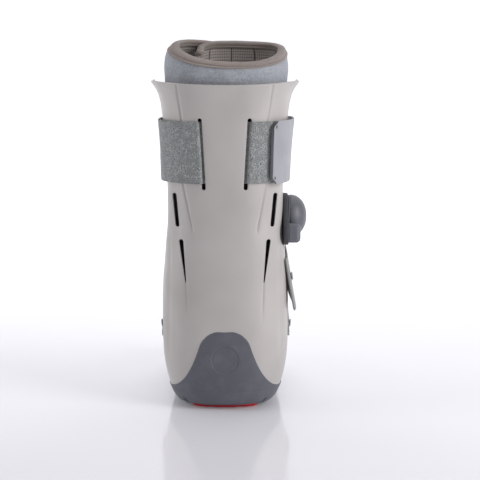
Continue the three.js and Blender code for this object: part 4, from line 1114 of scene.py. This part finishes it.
def foot_face(share, angle, offset):
    """The foot strap's surface in the liner's fan sections: the taut outline round the foot walls and
    the liner in each section's plane, pushed out by an offset."""
    ends = liner_point(np.array([3.0, 4.0]), 180, 0)
    place = FOOT_STRAP_PLACE - share * sizes().foot_strap_width / np.linalg.norm(ends[1] - ends[0])
    back, top = liner_point(place, 0, 0), liner_point(place, 180, 0)
    length = np.linalg.norm(top - back, axis=-1, keepdims=True)
    up = (top - back) / length
    along = length * np.linspace(0.3, 1, 40)[None, :]
    spot = back[:, None, :] + up[:, None, :] * along[..., None]
    plan = shell_plan(spot[..., 2])
    wall = np.where(spot[..., 1] <= plan[2], side_at(plan, spot[..., 1]), 0)
    rim = liner_point(place[:, None], np.linspace(90, 270, 25)[None, :], 0.3 * MM)
    height = ((rim - back[:, None, :]) * up[:, None, :]).sum(-1)
    centre = 0.45 * length
    outline = np.concatenate([
        np.stack([wall, along - centre], -1), np.stack([-wall, along - centre], -1),
        np.stack([rim[..., 0], height - centre], -1)], 1)
    flat = in_plan(angle, girdle(outline, angle, offset))
    rise = flat[..., 1:] + centre[..., None]
    points = back[:, None, :] + up[:, None, :] * rise
    points[..., 0] = flat[..., 0]
    return points


def make_foot_strap(materials):
    """The foot strap's pile moves its points between the strap's own face and a face 1 mm out."""
    width = sizes().foot_strap_width
    height, out = strap_section(width, THIN_STRAP, 22)
    angle = np.linspace(FOOT_STRAP_SPREAD, 360 - FOOT_STRAP_SPREAD, 180)[None, :]
    offset = FOOT_STRAP_OFF + out[:, None]
    face = foot_face(height / width, angle, offset)
    beyond = foot_face(height / width, angle, offset + 1 * MM)
    relief = pile(len(height), angle.size, FOOT_LOOPS, seed=5) / (1 * MM)
    mesh = mesh_from("foot_strap_pile", [closed_ends(mix(face, beyond, relief[..., None]))])
    add_piece("foot_strap_pile", mesh, ["foot_strap"], materials)


def turned(profile, count):
    """A profile of radii and heights turned once round the Z axis."""
    turn = np.linspace(0, 2 * np.pi, count + 1)
    radius, height = profile[:, 0][:, None], profile[:, 1][:, None]
    return np.stack(np.broadcast_arrays(radius * np.cos(turn), radius * np.sin(turn), height), -1)


def seated(points, seat, normal):
    """Points drawn round the Z axis, turned so that Z is the normal and moved onto the seat."""
    normal = np.asarray(normal) / np.linalg.norm(normal)
    side = np.cross([0.0, 0.0, 1.0], normal)
    side = side / np.linalg.norm(side)
    axes = np.stack([side, np.cross(normal, side), normal])
    return points @ axes + seat


# Each rivet's node and how far its head sits inside the CAD one, on the strap's pressed pile
RIVETS = (("ankle_rivet", 0.0), ("foot_rivet_right", 1.6 * MM), ("foot_rivet_left", 1.6 * MM))
RIVET_RADIUS, RIVET_HEIGHT = 4.0 * MM, 1.8 * MM


def make_rivet(node, sunk, materials):
    """A rivet's round head with a rolled rim and a shallow dimple. It takes its middle from its CAD
    node, and its axis from that node's largest flat faces."""
    low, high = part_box(node)
    node_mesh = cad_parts[node].data
    area = np.zeros(len(node_mesh.polygons))
    normals = np.zeros(3 * len(node_mesh.polygons))
    node_mesh.polygons.foreach_get("area", area)
    node_mesh.polygons.foreach_get("normal", normals)
    normals = normals.reshape(-1, 3)
    alike = normals @ normals.T > 0.999
    normal = normals[np.argmax(alike @ area)]
    centre = np.array((low + high) / 2)
    normal = normal * np.sign(normal @ centre)
    rim = np.linspace(-np.pi / 2, np.pi / 2, 9)
    edge = np.stack([RIVET_RADIUS + 0.8 * MM * np.cos(rim), 0.1 * MM + 0.7 * MM * np.sin(rim)], -1)
    dimple = np.linspace(1, 0, 9)
    top = np.stack([3.3 * MM * dimple, (0.2 + 0.5 * np.cos(dimple * np.pi / 2 + 1.2)) * MM], -1)
    foot = [(0, -RIVET_HEIGHT / 2), (RIVET_RADIUS, -RIVET_HEIGHT / 2)]
    profile = np.concatenate([foot, edge, top])
    mesh = mesh_from(node + "_head", [seated(turned(profile, 40), centre - sunk * normal, normal)])
    add_piece(node + "_head", mesh, [node], materials)


# Inflator

def side_place(points, x, y, z):
    """Turns points drawn in X and Y and raised along Z to stand out to the right from a place."""
    return np.stack([points[..., 2] + x, points[..., 0] + y, points[..., 1] + z], -1)


# The mount's radii round the bulb and the dial, its height over the shell's side and its rounded edge
MOUNT_BULB, MOUNT_DIAL = 27 * MM, 14 * MM
MOUNT_HEIGHT, MOUNT_LIP = 6 * MM, 1.4 * MM
BULB_LIP = 0.7 * MM
DIAL_LOBE, DIAL_GRIP, DIAL_GRIPS, DIAL_TOP = 0.08, 0.35 * MM, 36, 0.38


def side_middle(node):
    """Middle of a CAD node's box seen from the side, as a place along Y and a height."""
    low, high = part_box(node)
    return np.array([low.y + high.y, low.z + high.z]) / 2


def make_bulb(materials):
    """The bulb is a squeezable dome: radius cos(t)^0.9 of its foot's, height 12% foot and the rest
    sin(t), with a rolled lip at its foot."""
    s = sizes()
    low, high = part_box("inflator_bulb")
    centre = (low + high) / 2
    rise = np.linspace(0, np.pi / 2, 49)
    radius = s.bulb_radius * np.cos(rise) ** 0.9
    height = s.bulb_height * mix(0.12, 1, np.sin(rise))
    radius[-1] = 0
    turn = np.linspace(-np.pi / 2, np.pi / 2, 9)
    lip = np.stack([s.bulb_radius * 0.97 + BULB_LIP * np.cos(turn), BULB_LIP * (1 + np.sin(turn))], -1)
    neck = [(s.bulb_radius * 0.985, 1.8 * MM)]
    profile = np.concatenate([[(0, 0)], lip, neck, np.stack([radius, height], -1)])
    points = side_place(turned(profile, 96), low.x, centre.y, centre.z)
    mesh = mesh_from("inflator_dome", [points])
    add_piece("inflator_dome", mesh, ["inflator_bulb"], materials)


def make_inflator_base(materials):
    """The base's outline is the band round two circles. It stands from under the shell's face to its
    own face, where it is rounded over."""
    big, small = side_middle("inflator_bulb"), side_middle("selector_dial")
    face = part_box("inflator_base")[1].x
    apart = np.linalg.norm(big - small)
    heading = np.arctan2(*(big - small)[::-1])
    spread = np.arccos((MOUNT_BULB - MOUNT_DIAL) / apart)
    around_big = heading + np.linspace(-np.pi + spread, np.pi - spread, 90)
    around_small = heading + np.linspace(np.pi - spread, np.pi + spread, 50)
    turn = np.concatenate([around_big, around_small, around_big[:1]])
    away = np.stack([np.cos(turn), np.sin(turn)], -1)
    by_bulb = np.concatenate([np.ones(90, bool), np.zeros(50, bool), [True]])[:, None]
    centre, radius = np.where(by_bulb, big, small), np.where(by_bulb, MOUNT_BULB, MOUNT_DIAL)
    fold = np.linspace(0, np.pi / 2, 8)
    inset = np.concatenate([[0, 0], MOUNT_LIP * (1 - np.cos(fold))])[:, None, None]
    x = face - np.concatenate([[MOUNT_HEIGHT, MOUNT_HEIGHT / 2], MOUNT_LIP * (1 - np.sin(fold))])
    y, z = np.moveaxis(centre + away * (radius - inset), -1, 0)
    outline = np.stack(np.broadcast_arrays(x[:, None], y, z), -1)
    middle = outline[-1:].mean(1, keepdims=True)
    foot = outline[:1].mean(1, keepdims=True)
    shares = np.array([0.66, 0.33, 0.0])[:, None, None]
    lid = middle + (outline[-1:] - middle) * shares
    floor = foot + (outline[:1] - foot) * shares[::-1]
    mesh = mesh_from("inflator_mount", [np.concatenate([floor, outline, lid])])
    add_piece("inflator_mount", mesh, ["inflator_base"], materials)


def make_dial(materials):
    """The dial's radius is r (1 - lobe + lobe cos 3a), with fine grips round it and a rounded top that
    dips in the middle. Its spigot turns in the base."""
    s = sizes()
    low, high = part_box("selector_dial")
    centre = (low + high) / 2
    turn = np.linspace(0, 2 * np.pi, 181)
    lobes = 1 - DIAL_LOBE + DIAL_LOBE * np.cos(3 * turn)
    grip = DIAL_GRIP * (0.5 + 0.5 * np.cos(DIAL_GRIPS * turn))
    fold = np.linspace(0, np.pi / 2, 12)
    top = s.dial_height * DIAL_TOP
    inset = np.concatenate([[0, 0, 0], top * (1 - np.cos(fold))])[:, None]
    height = np.concatenate([[0, 0.5 * MM, s.dial_height * 0.4], s.dial_height - top + top * np.sin(fold)])
    radius = s.dial_radius * lobes - grip - inset
    rings = np.stack(np.broadcast_arrays(radius * np.cos(turn), radius * np.sin(turn), height[:, None]), -1)
    shares = np.array([0.7, 0.35, 0.0])[:, None, None]
    lid = rings[-1:] * [1, 1, 0] * shares + rings[-1:] * [0, 0, 1]
    lid[..., 2] -= 0.5 * MM * (1 - shares[..., 0])
    spigot = turned(np.array([(4.0, 0), (4.0, -2.4), (3.6, -2.8), (0, -2.8)]) * MM, 180)
    points = np.concatenate([spigot[::-1], rings, lid])
    mesh = mesh_from("dial_knob", [side_place(points, high.x - s.dial_height, centre.y, centre.z)])
    add_piece("dial_knob", mesh, ["selector_dial"], materials, body="dial")


# Materials

def linear(code):
    """An sRGB hex colour as linear light."""
    value = np.array([int(code[i:i + 2], 16) for i in (1, 3, 5)]) / 255
    light = np.where(value <= 0.04045, value / 12.92, ((value + 0.055) / 1.055) ** 2.4)
    return (*light.tolist(), 1.0)


def colour(name, code, about):
    """A colour that a user can change."""
    return bpy.props.FloatVectorProperty(name=name, description=about, default=linear(code), size=4,
                                         subtype="COLOR", min=0, max=1)


class BootColours(bpy.types.PropertyGroup):
    """The boot's colours"""
    shell: colour("Shell", "#c5c0bd", "Moulded plastic of both shells")
    shell_low: colour("Shell shade", "#b9b4b1", "Slightly darker bands in the moulded plastic")
    rubber: colour("Sole rubber", "#5d5e67", "Outer sole and heel tab")
    red: colour("Heel pad", "#c2122a", "Red rubber under the heel")
    liner: colour("Liner", "#adb0b7", "Brushed cloth outside the liner")
    liner_dark: colour("Liner shade", "#94979e", "Darker tufts of the brushed cloth")
    # Near-black painted shadow of the rear shell on the liner behind it
    shell_shadow: colour("Liner backing", "#1b1a1e", "Cloth of the liner where the rear shell covers it")
    mesh: colour("Lining", "#b9b0ab", "Spacer mesh inside the liner")
    # Painted shade inside the mesh's holes and sunk seams
    mesh_hollow_shade: colour("Lining holes", "#655d5b", "Holes of the spacer mesh")
    binding: colour("Binding", "#ad9f98", "Ribbed tape round the liner's ends")
    pile: colour("Loop pile", "#bfc2c2", "Looped face of the straps")
    # Painted shade in the gaps between the pile's loops
    pile_gap_shade: colour("Loop pile shade", "#5c5f60", "Gaps between the loops")
    tab: colour("Hook tab", "#a9aaaf", "Smooth tab on the strap's end")
    webbing: colour("Webbing", "#aeb0b1", "Ankle strap")
    # Painted shade in the valleys between the webbing's ribs
    webbing_rib_shade: colour("Webbing shade", "#8b8b84", "Between the webbing's ribs")
    rivet: colour("Rivets", "#a2a3a5", "Moulded rivet heads")
    bulb: colour("Bulb", "#606168", "Rubber of the inflation bulb")
    # The mount's colour is darker than the bulb's rubber: painted shade beside the bulb
    mount: colour("Bulb mount", "#3d3d43", "Rubber mount under the bulb and the dial")
    dial: colour("Dial", "#6c6d75", "Moulded selector dial")


# Distances in metres between the lining's holes, its seams and the tape's ribs
MESH_PITCH = 0.0026
SEAM_PITCH = 0.033
TAPE_PITCH = 0.0011


class Finish:
    """A new material with its principled shader, and the one way to add a node to it."""

    def __init__(self, name, roughness, ior=1.5):
        self.material = bpy.data.materials.new(name)
        self.material.use_nodes = True
        self.tree = self.material.node_tree
        self.shader = self.tree.nodes["Principled BSDF"]
        self.shader.inputs["Roughness"].default_value = roughness
        self.shader.inputs["IOR"].default_value = ior

    def add(self, kind, values=None, links=None, out=0, **settings):
        """Adds a node, sets its properties and sockets, links its sockets to other nodes' outputs and
        gives the output named by out."""
        node = self.tree.nodes.new(kind)
        for key, value in settings.items():
            setattr(node, key, value)
        for key, value in (values or {}).items():
            node.inputs[key].default_value = value
        for key, output in (links or {}).items():
            self.tree.links.new(output, node.inputs[key])
        return node.outputs[out]

    def shade(self, socket, output):
        """Links an output to one of the shader's sockets."""
        self.tree.links.new(output, self.shader.inputs[socket])

    def raise_face(self, *heights):
        """Bump from height fields, each with its depth in metres, the coarsest first."""
        normal = None
        for field, depth in heights:
            links = {"Height": field} if normal is None else {"Height": field, "Normal": normal}
            normal = self.add("ShaderNodeBump", {"Distance": depth, "Strength": 1.0}, links)
        self.shade("Normal", normal)


def tinted(light, share):
    """A colour made lighter or darker by a share."""
    return tuple(min(channel * share, 1) for channel in light[:3]) + (1.0,)


OBJECT, UV = "Object", "UV"


def moulded_plastic(name, light, shade, roughness=0.42):
    """Injection-moulded nylon blend, satin with a fine spark-eroded grain about 0.6 mm wide (drawn a
    little coarser than real so that it shows) and slow flow marks a hand wide."""
    finish = Finish(name, roughness, 1.52)
    place = finish.add("ShaderNodeTexCoord", out=OBJECT)
    flow = finish.add("ShaderNodeTexNoise", {"Scale": 14.0, "Detail": 2.0}, {"Vector": place})
    grain = finish.add("ShaderNodeTexNoise", {"Scale": 1600.0, "Detail": 2.0}, {"Vector": place})
    marks = finish.add("ShaderNodeMapRange", {1: 0.3, 2: 0.7}, {0: flow})
    gloss = {1: 0.3, 2: 0.7, 3: roughness - 0.05, 4: roughness + 0.07}
    ends = {6: light, 7: shade}
    finish.shade("Base Color", finish.add("ShaderNodeMix", ends, {0: marks}, data_type="RGBA", out=2))
    finish.shade("Roughness", finish.add("ShaderNodeMapRange", gloss, {0: flow}))
    finish.raise_face((flow, 0.0004), (grain, 0.00005))
    return finish.material


def moulded_rubber(name, light, roughness, sheen):
    """Moulded rubber: matt, with a fine grain about 0.8 mm wide and scattered paler dust."""
    finish = Finish(name, roughness, 1.52)
    finish.shader.inputs["Sheen Weight"].default_value = sheen
    finish.shader.inputs["Sheen Roughness"].default_value = 0.5
    place = finish.add("ShaderNodeTexCoord", out=OBJECT)
    dusty = {"Scale": 60.0, "Detail": 4.0, "Roughness": 0.55}
    dust = finish.add("ShaderNodeTexNoise", dusty, {"Vector": place})
    grain = finish.add("ShaderNodeTexNoise", {"Scale": 1200.0, "Detail": 3.0}, {"Vector": place})
    patch = finish.add("ShaderNodeMapRange", {1: 0.45, 2: 0.75}, {0: dust})
    ends = {6: light, 7: tinted(light, 1.22)}
    finish.shade("Base Color", finish.add("ShaderNodeMix", ends, {0: patch}, data_type="RGBA", out=2))
    gloss = {1: 0.3, 2: 0.7, 3: roughness - 0.06, 4: roughness + 0.08}
    finish.shade("Roughness", finish.add("ShaderNodeMapRange", gloss, {0: grain}))
    finish.raise_face((grain, 0.00012))
    return finish.material


def brushed_loop_cloth(name, light, shade):
    """Brushed nylon loop laminated to foam: soft sheen, tufts about 1.5 mm across that catch light
    unevenly, and fibres a fifth of that."""
    finish = Finish(name, 0.92, 1.45)
    finish.shader.inputs["Sheen Weight"].default_value = 0.45
    finish.shader.inputs["Sheen Roughness"].default_value = 0.45
    finish.shader.inputs["Sheen Tint"].default_value = (0.85, 0.88, 0.95, 1)
    place = finish.add("ShaderNodeTexCoord", out=OBJECT)
    tufted = {"Scale": 420.0, "Detail": 4.0, "Roughness": 0.65}
    tuft = finish.add("ShaderNodeTexNoise", tufted, {"Vector": place})
    fine = {"Scale": 2200.0, "Detail": 3.0, "Roughness": 0.7}
    fibre = finish.add("ShaderNodeTexNoise", fine, {"Vector": place})
    worn = finish.add("ShaderNodeTexNoise", {"Scale": 45.0, "Detail": 3.0}, {"Vector": place})
    tufts = finish.add("ShaderNodeMapRange", {1: 0.35, 2: 0.65}, {0: tuft})
    mottled = finish.add("ShaderNodeMix", {6: shade, 7: light}, {0: tufts}, data_type="RGBA", out=2)
    wear = finish.add("ShaderNodeMapRange", {1: 0.5, 2: 0.8, 4: 0.5}, {0: worn})
    pale = {7: tinted(light, 1.35)}
    cloth = finish.add("ShaderNodeMix", pale, {0: wear, 6: mottled}, data_type="RGBA", out=2)
    finish.shade("Base Color", cloth)
    finish.raise_face((worn, 0.0012), (tuft, 0.0007), (fibre, 0.0002))
    return finish.material


def spacer_mesh(light, hole):
    """Knitted spacer mesh: rows of small holes 2.6 mm apart in each direction, and sewn seams that
    run up the lining every 33 mm, both laid out on the piece's own UV map. Holes and seams are
    drawn darker as painted shade in their hollows."""
    finish = Finish("spacer_mesh_lining", 0.85, 1.45)
    finish.shader.inputs["Sheen Weight"].default_value = 0.25
    place = finish.add("ShaderNodeTexCoord", out=UV)
    across = finish.add("ShaderNodeSeparateXYZ", links={0: place}, out=0)
    along = finish.add("ShaderNodeSeparateXYZ", links={0: place}, out=1)
    waves = []
    for axis in (across, along):
        turns = finish.add("ShaderNodeMath", {1: 2 * np.pi / MESH_PITCH}, {0: axis}, operation="MULTIPLY")
        waves.append(finish.add("ShaderNodeMath", links={0: turns}, operation="COSINE"))
    both = finish.add("ShaderNodeMath", links={0: waves[0], 1: waves[1]}, operation="ADD")
    holes = finish.add("ShaderNodeMapRange", {1: 0.7, 2: 1.4}, {0: both})
    seam_turns = finish.add("ShaderNodeMath", {1: np.pi / SEAM_PITCH}, {0: across}, operation="MULTIPLY")
    seam_wave = finish.add("ShaderNodeMath", links={0: seam_turns}, operation="SINE")
    seam_side = finish.add("ShaderNodeMath", links={0: seam_wave}, operation="ABSOLUTE")
    seam = finish.add("ShaderNodeMapRange", {1: 0.05, 2: 0.13, 3: 1.0, 4: 0.0}, {0: seam_side})
    # Holes and seams take the darker colour: painted shade in their hollows
    sunk = finish.add("ShaderNodeMath", links={0: holes, 1: seam}, operation="MAXIMUM")
    knit = finish.add("ShaderNodeMix", {6: light, 7: hole}, {0: sunk}, data_type="RGBA", out=2)
    finish.shade("Base Color", knit)
    face = finish.add("ShaderNodeMapRange", {3: 1.0, 4: 0.0}, {0: sunk})
    finish.raise_face((face, 0.0009))
    return finish.material


def ribbed_tape(light):
    """Woven polyester binding tape: ribs 1.1 mm apart that run over the edge, with painted shade in
    the valleys between them, dry with a faint sheen. The ribs follow the piece's UV map."""
    finish = Finish("ribbed_binding_tape", 0.75, 1.47)
    finish.shader.inputs["Sheen Weight"].default_value = 0.3
    place = finish.add("ShaderNodeTexCoord", out=UV)
    across = finish.add("ShaderNodeSeparateXYZ", links={0: place}, out=0)
    turns = finish.add("ShaderNodeMath", {1: 2 * np.pi / TAPE_PITCH}, {0: across}, operation="MULTIPLY")
    wave = finish.add("ShaderNodeMath", links={0: turns}, operation="SINE")
    spot = finish.add("ShaderNodeTexCoord", out=OBJECT)
    thread = finish.add("ShaderNodeTexNoise", {"Scale": 900.0, "Detail": 3.0}, {"Vector": spot})
    ribs = finish.add("ShaderNodeMapRange", {1: -1.0, 2: 0.6}, {0: wave})
    # The valleys between the ribs are drawn darker: painted shade
    ends = {6: tinted(light, 0.7), 7: light}
    finish.shade("Base Color", finish.add("ShaderNodeMix", ends, {0: ribs}, data_type="RGBA", out=2))
    finish.raise_face((wave, 0.00025), (thread, 0.00025))
    return finish.material


def loop_pile(light, shade):
    """Nylon loop pile: crushed loops a little over 1 mm across with painted shade in the gaps between
    them, worn patches several loops wide, and a dull sheen along the nap."""
    finish = Finish("nylon_loop_pile", 0.9, 1.46)
    finish.shader.inputs["Sheen Weight"].default_value = 0.6
    finish.shader.inputs["Sheen Roughness"].default_value = 0.35
    place = finish.add("ShaderNodeTexCoord", out=OBJECT)
    loops = finish.add("ShaderNodeTexVoronoi", {"Scale": 760.0}, {"Vector": place})
    trodden = {"Scale": 150.0, "Detail": 5.0, "Roughness": 0.7}
    worn = finish.add("ShaderNodeTexNoise", trodden, {"Vector": place})
    # The gaps between the loops take the darker colour: painted shade
    gaps = finish.add("ShaderNodeMapRange", {1: 0.3, 2: 0.85}, {0: loops})
    patch = finish.add("ShaderNodeMapRange", {1: 0.40, 2: 0.60}, {0: worn})
    tufts = finish.add("ShaderNodeMix", {6: light, 7: shade}, {0: gaps}, data_type="RGBA", out=2)
    dull = finish.add("ShaderNodeMix", {6: tinted(light, 0.5)}, {0: patch, 7: tufts}, data_type="RGBA", out=2)
    finish.shade("Base Color", dull)
    loop_face = finish.add("ShaderNodeMapRange", {2: 0.8, 3: 1.0, 4: 0.0}, {0: loops})
    finish.raise_face((worn, 0.0012), (loop_face, 0.0006))
    return finish.material


def woven_webbing(light, shade):
    """Polyester webbing laminated to thin foam: fine ribs 1.8 mm apart along the strap, with painted
    shade between them.
    """
    finish = Finish("woven_webbing", 0.8, 1.47)
    finish.shader.inputs["Sheen Weight"].default_value = 0.3
    place = finish.add("ShaderNodeTexCoord", out=OBJECT)
    height = finish.add("ShaderNodeSeparateXYZ", links={0: place}, out=2)
    turns = finish.add("ShaderNodeMath", {1: 2 * np.pi / WEBBING_PITCH}, {0: height}, operation="MULTIPLY")
    wave = finish.add("ShaderNodeMath", links={0: turns}, operation="SINE")
    thread = finish.add("ShaderNodeTexNoise", {"Scale": 1100.0, "Detail": 3.0}, {"Vector": place})
    # The valleys between the ribs take the darker colour: painted shade
    ribs = finish.add("ShaderNodeMapRange", {1: -0.8, 2: 0.8}, {0: wave})
    ends = {6: shade, 7: light}
    finish.shade("Base Color", finish.add("ShaderNodeMix", ends, {0: ribs}, data_type="RGBA", out=2))
    finish.raise_face((wave, 0.0002), (thread, 0.0002))
    return finish.material


def hook_tape(light):
    """Moulded hook tab: smooth nylon with a soft gloss and slow unevenness."""
    finish = Finish("moulded_hook_tab", 0.5, 1.5)
    place = finish.add("ShaderNodeTexCoord", out=OBJECT)
    fine = finish.add("ShaderNodeTexNoise", {"Scale": 900.0, "Detail": 2.0}, {"Vector": place})
    slow = finish.add("ShaderNodeTexNoise", {"Scale": 40.0, "Detail": 3.0}, {"Vector": place})
    patch = finish.add("ShaderNodeMapRange", {1: 0.35, 2: 0.7}, {0: slow})
    ends = {6: light, 7: tinted(light, 0.88)}
    finish.shade("Base Color", finish.add("ShaderNodeMix", ends, {0: patch}, data_type="RGBA", out=2))
    finish.raise_face((slow, 0.0004), (fine, 0.0001))
    return finish.material


# Stage

CAMERA_PLACE = (0.0173, -1.70, 0.43)
CAMERA_PITCH = 8.02
CAMERA_LENS = 109.1
SENSOR = 36.0
SWEEP_BACK = 2.2
SWEEP_ROUND = 1.2
WALL_GLOW = 0.62
WORLD_STRENGTH = 0.31
BOOT_MIDDLE = (0, 0, 0.22)
LIGHTS = (
    # name, place, target, size, watts
    ("key_right", (1.5, -0.9, 0.8), BOOT_MIDDLE, (0.8, 1.3), 21),
    ("top", (0.0, 0.2, 2.0), BOOT_MIDDLE, (1.6, 1.6), 9),
    ("left_edge", (-1.5, -0.15, 0.6), BOOT_MIDDLE, (0.6, 1.2), 7),
)


def studio_sweep():
    """The floor runs back, turns up on a quarter circle and rises as a wall, so no edge shows. It is
    a pale glossy sheet, and its far part glows as a lit studio wall does."""
    finish = Finish("white_acrylic_sweep", 0.12, 1.45)
    place = finish.add("ShaderNodeTexCoord", out=OBJECT)
    slow = finish.add("ShaderNodeTexNoise", {"Scale": 3.0, "Detail": 2.0}, {"Vector": place})
    ends = {6: linear("#f0eff4"), 7: linear("#ecebf0")}
    finish.shade("Base Color", finish.add("ShaderNodeMix", ends, {0: slow}, data_type="RGBA", out=2))
    depth = finish.add("ShaderNodeSeparateXYZ", links={0: place}, out=1)
    far = finish.add("ShaderNodeMapRange", {1: -0.3, 2: SWEEP_BACK, 4: WALL_GLOW}, {0: depth})
    finish.shader.inputs["Emission Color"].default_value = linear("#f8f8fb")
    finish.shade("Emission Strength", far)
    turn = np.linspace(0, np.pi / 2, 24)
    floor_y = np.linspace(-5, SWEEP_BACK, 40)
    y = np.concatenate([floor_y[:-1], SWEEP_BACK + SWEEP_ROUND * np.sin(turn), [SWEEP_BACK + SWEEP_ROUND]])
    z = np.concatenate([0 * floor_y[:-1], SWEEP_ROUND * (1 - np.cos(turn)), [5.0]])
    x = np.linspace(-5, 5, 30)[:, None]
    low = CAD_BOX[0].z - 0.0004
    points = np.stack(np.broadcast_arrays(x, y[None, :], z[None, :] + low), -1)
    sweep = bpy.data.objects.new("studio_sweep", mesh_from("studio_sweep", [points]))
    bpy.context.scene.collection.objects.link(sweep)
    sweep.data.materials.append(finish.material)


def add_light(name, place, target, size, power):
    """A rectangular white light that faces a target."""
    light = bpy.data.lights.new(name, "AREA")
    light.shape = "RECTANGLE"
    light.size, light.size_y = size
    light.energy = power
    lamp = bpy.data.objects.new(name, light)
    lamp.location = place
    lamp.rotation_euler = (Vector(target) - Vector(place)).to_track_quat("-Z", "Y").to_euler()
    bpy.context.scene.collection.objects.link(lamp)


def make_stage():
    """The floor, a dim world, a main light from the right, two weaker ones and the camera behind."""
    studio_sweep()
    world = bpy.data.worlds.new("studio")
    world.use_nodes = True
    sky = world.node_tree.nodes["Background"]
    sky.inputs["Color"].default_value = linear("#f6f6fa")
    sky.inputs["Strength"].default_value = WORLD_STRENGTH
    bpy.context.scene.world = world
    for light in LIGHTS:
        add_light(*light)
    bpy.context.scene.view_settings.view_transform = "Standard"
    lens = bpy.data.cameras.new("camera")
    lens.lens, lens.sensor_width = CAMERA_LENS, SENSOR
    camera = bpy.data.objects.new("camera", lens)
    camera.location = CAMERA_PLACE
    camera.rotation_euler = Euler((np.radians(90 - CAMERA_PITCH), 0, 0))
    bpy.context.scene.collection.objects.link(camera)
    bpy.context.scene.camera = camera


# Operators

class BOOT_OT_shell(bpy.types.Operator):
    """Builds the rear shell, its floor and the shin panel"""
    bl_idname = "boot.shell"
    bl_label = "Shells"

    def execute(self, context):
        c = context.scene.boot_colours
        plastic = moulded_plastic("moulded_shell_nylon", c.shell, c.shell_low)
        make_shell([plastic])
        make_base_plate([plastic])
        make_front_shell([plastic])
        return {"FINISHED"}


class BOOT_OT_sole(bpy.types.Operator):
    """Builds the outer sole with its heel tab, and the red heel pad"""
    bl_idname = "boot.sole"
    bl_label = "Sole"

    def execute(self, context):
        c = context.scene.boot_colours
        make_outsole([moulded_rubber("moulded_sole_rubber", c.rubber, 0.62, 0.1)])
        make_heel_pad([moulded_rubber("red_heel_rubber", c.red, 0.5, 0.0)])
        return {"FINISHED"}


class BOOT_OT_liner(bpy.types.Operator):
    """Builds the padded liner with its bindings and their stitches"""
    bl_idname = "boot.liner"
    bl_label = "Liner"

    def execute(self, context):
        c = context.scene.boot_colours
        cloth = brushed_loop_cloth("brushed_loop_cloth", c.liner, c.liner_dark)
        # The third material paints the rear shell's shadow on the liner near black
        shell_shadow = brushed_loop_cloth("painted_shell_shadow", c.shell_shadow, c.shell_shadow)
        make_liner([cloth, spacer_mesh(c.mesh, c.mesh_hollow_shade), shell_shadow])
        tape = ribbed_tape(c.binding)
        for end, at_rim in (("top", True), ("toe", False)):
            node = "liner_binding_" + end
            make_binding("binding_tape_" + end, node, [tape], at_rim)
            make_stitches("binding_stitches_" + end, node, [tape], at_rim)
        return {"FINISHED"}


class BOOT_OT_straps(bpy.types.Operator):
    """Builds the calf, ankle and foot straps, the hook tab and the rivets"""
    bl_idname = "boot.straps"
    bl_label = "Straps"

    def execute(self, context):
        c = context.scene.boot_colours
        looped = loop_pile(c.pile, c.pile_gap_shade)
        make_calf_strap([looped])
        make_calf_tab([hook_tape(c.tab)])
        make_ankle_strap([woven_webbing(c.webbing, c.webbing_rib_shade)])
        make_foot_strap([looped])
        rivet = moulded_plastic("moulded_rivet", c.rivet, c.rivet, 0.35)
        for node, sunk in RIVETS:
            make_rivet(node, sunk, [rivet])
        return {"FINISHED"}


class BOOT_OT_inflator(bpy.types.Operator):
    """Builds the inflation bulb, its base and the selector dial"""
    bl_idname = "boot.inflator"
    bl_label = "Inflator"

    def execute(self, context):
        c = context.scene.boot_colours
        # The mount's rubber is drawn darker as painted shade
        make_inflator_base([moulded_rubber("inflator_mount_shaded_rubber", c.mount, 0.5, 0.1)])
        make_bulb([moulded_rubber("inflator_rubber", c.bulb, 0.42, 0.15)])
        make_dial([moulded_plastic("moulded_dial", c.dial, c.dial, 0.38)])
        return {"FINISHED"}


class BOOT_OT_stage(bpy.types.Operator):
    """Builds the floor, lights and camera"""
    bl_idname = "boot.stage"
    bl_label = "Stage"

    def execute(self, context):
        make_stage()
        return {"FINISHED"}


OPERATORS = (BOOT_OT_stage, BOOT_OT_shell, BOOT_OT_sole, BOOT_OT_liner, BOOT_OT_straps, BOOT_OT_inflator)


class BOOT_PT_panel(bpy.types.Panel):
    """Sizes, colours and the steps that build the boot"""
    bl_label = "Walking boot"
    bl_idname = "BOOT_PT_panel"
    bl_space_type = "VIEW_3D"
    bl_region_type = "UI"
    bl_category = "Boot"

    def draw(self, context):
        for operator in OPERATORS:
            self.layout.operator(operator.bl_idname)
        for group in (context.scene.boot_sizes, context.scene.boot_colours):
            for name in group.bl_rna.properties.keys():
                if name not in ("rna_type", "name"):
                    self.layout.prop(group, name)


CLASSES = (BootSizes, BootColours, *OPERATORS, BOOT_PT_panel)


def register():
    for cls in CLASSES:
        bpy.utils.register_class(cls)
    bpy.types.Scene.boot_sizes = bpy.props.PointerProperty(type=BootSizes)
    bpy.types.Scene.boot_colours = bpy.props.PointerProperty(type=BootColours)


def unregister():
    del bpy.types.Scene.boot_colours
    del bpy.types.Scene.boot_sizes
    for cls in reversed(CLASSES):
        bpy.utils.unregister_class(cls)


def main():
    register()
    bpy.ops.boot.stage()
    bpy.ops.boot.shell()
    bpy.ops.boot.sole()
    bpy.ops.boot.liner()
    bpy.ops.boot.straps()
    bpy.ops.boot.inflator()


if __name__ == "__main__":
    main()
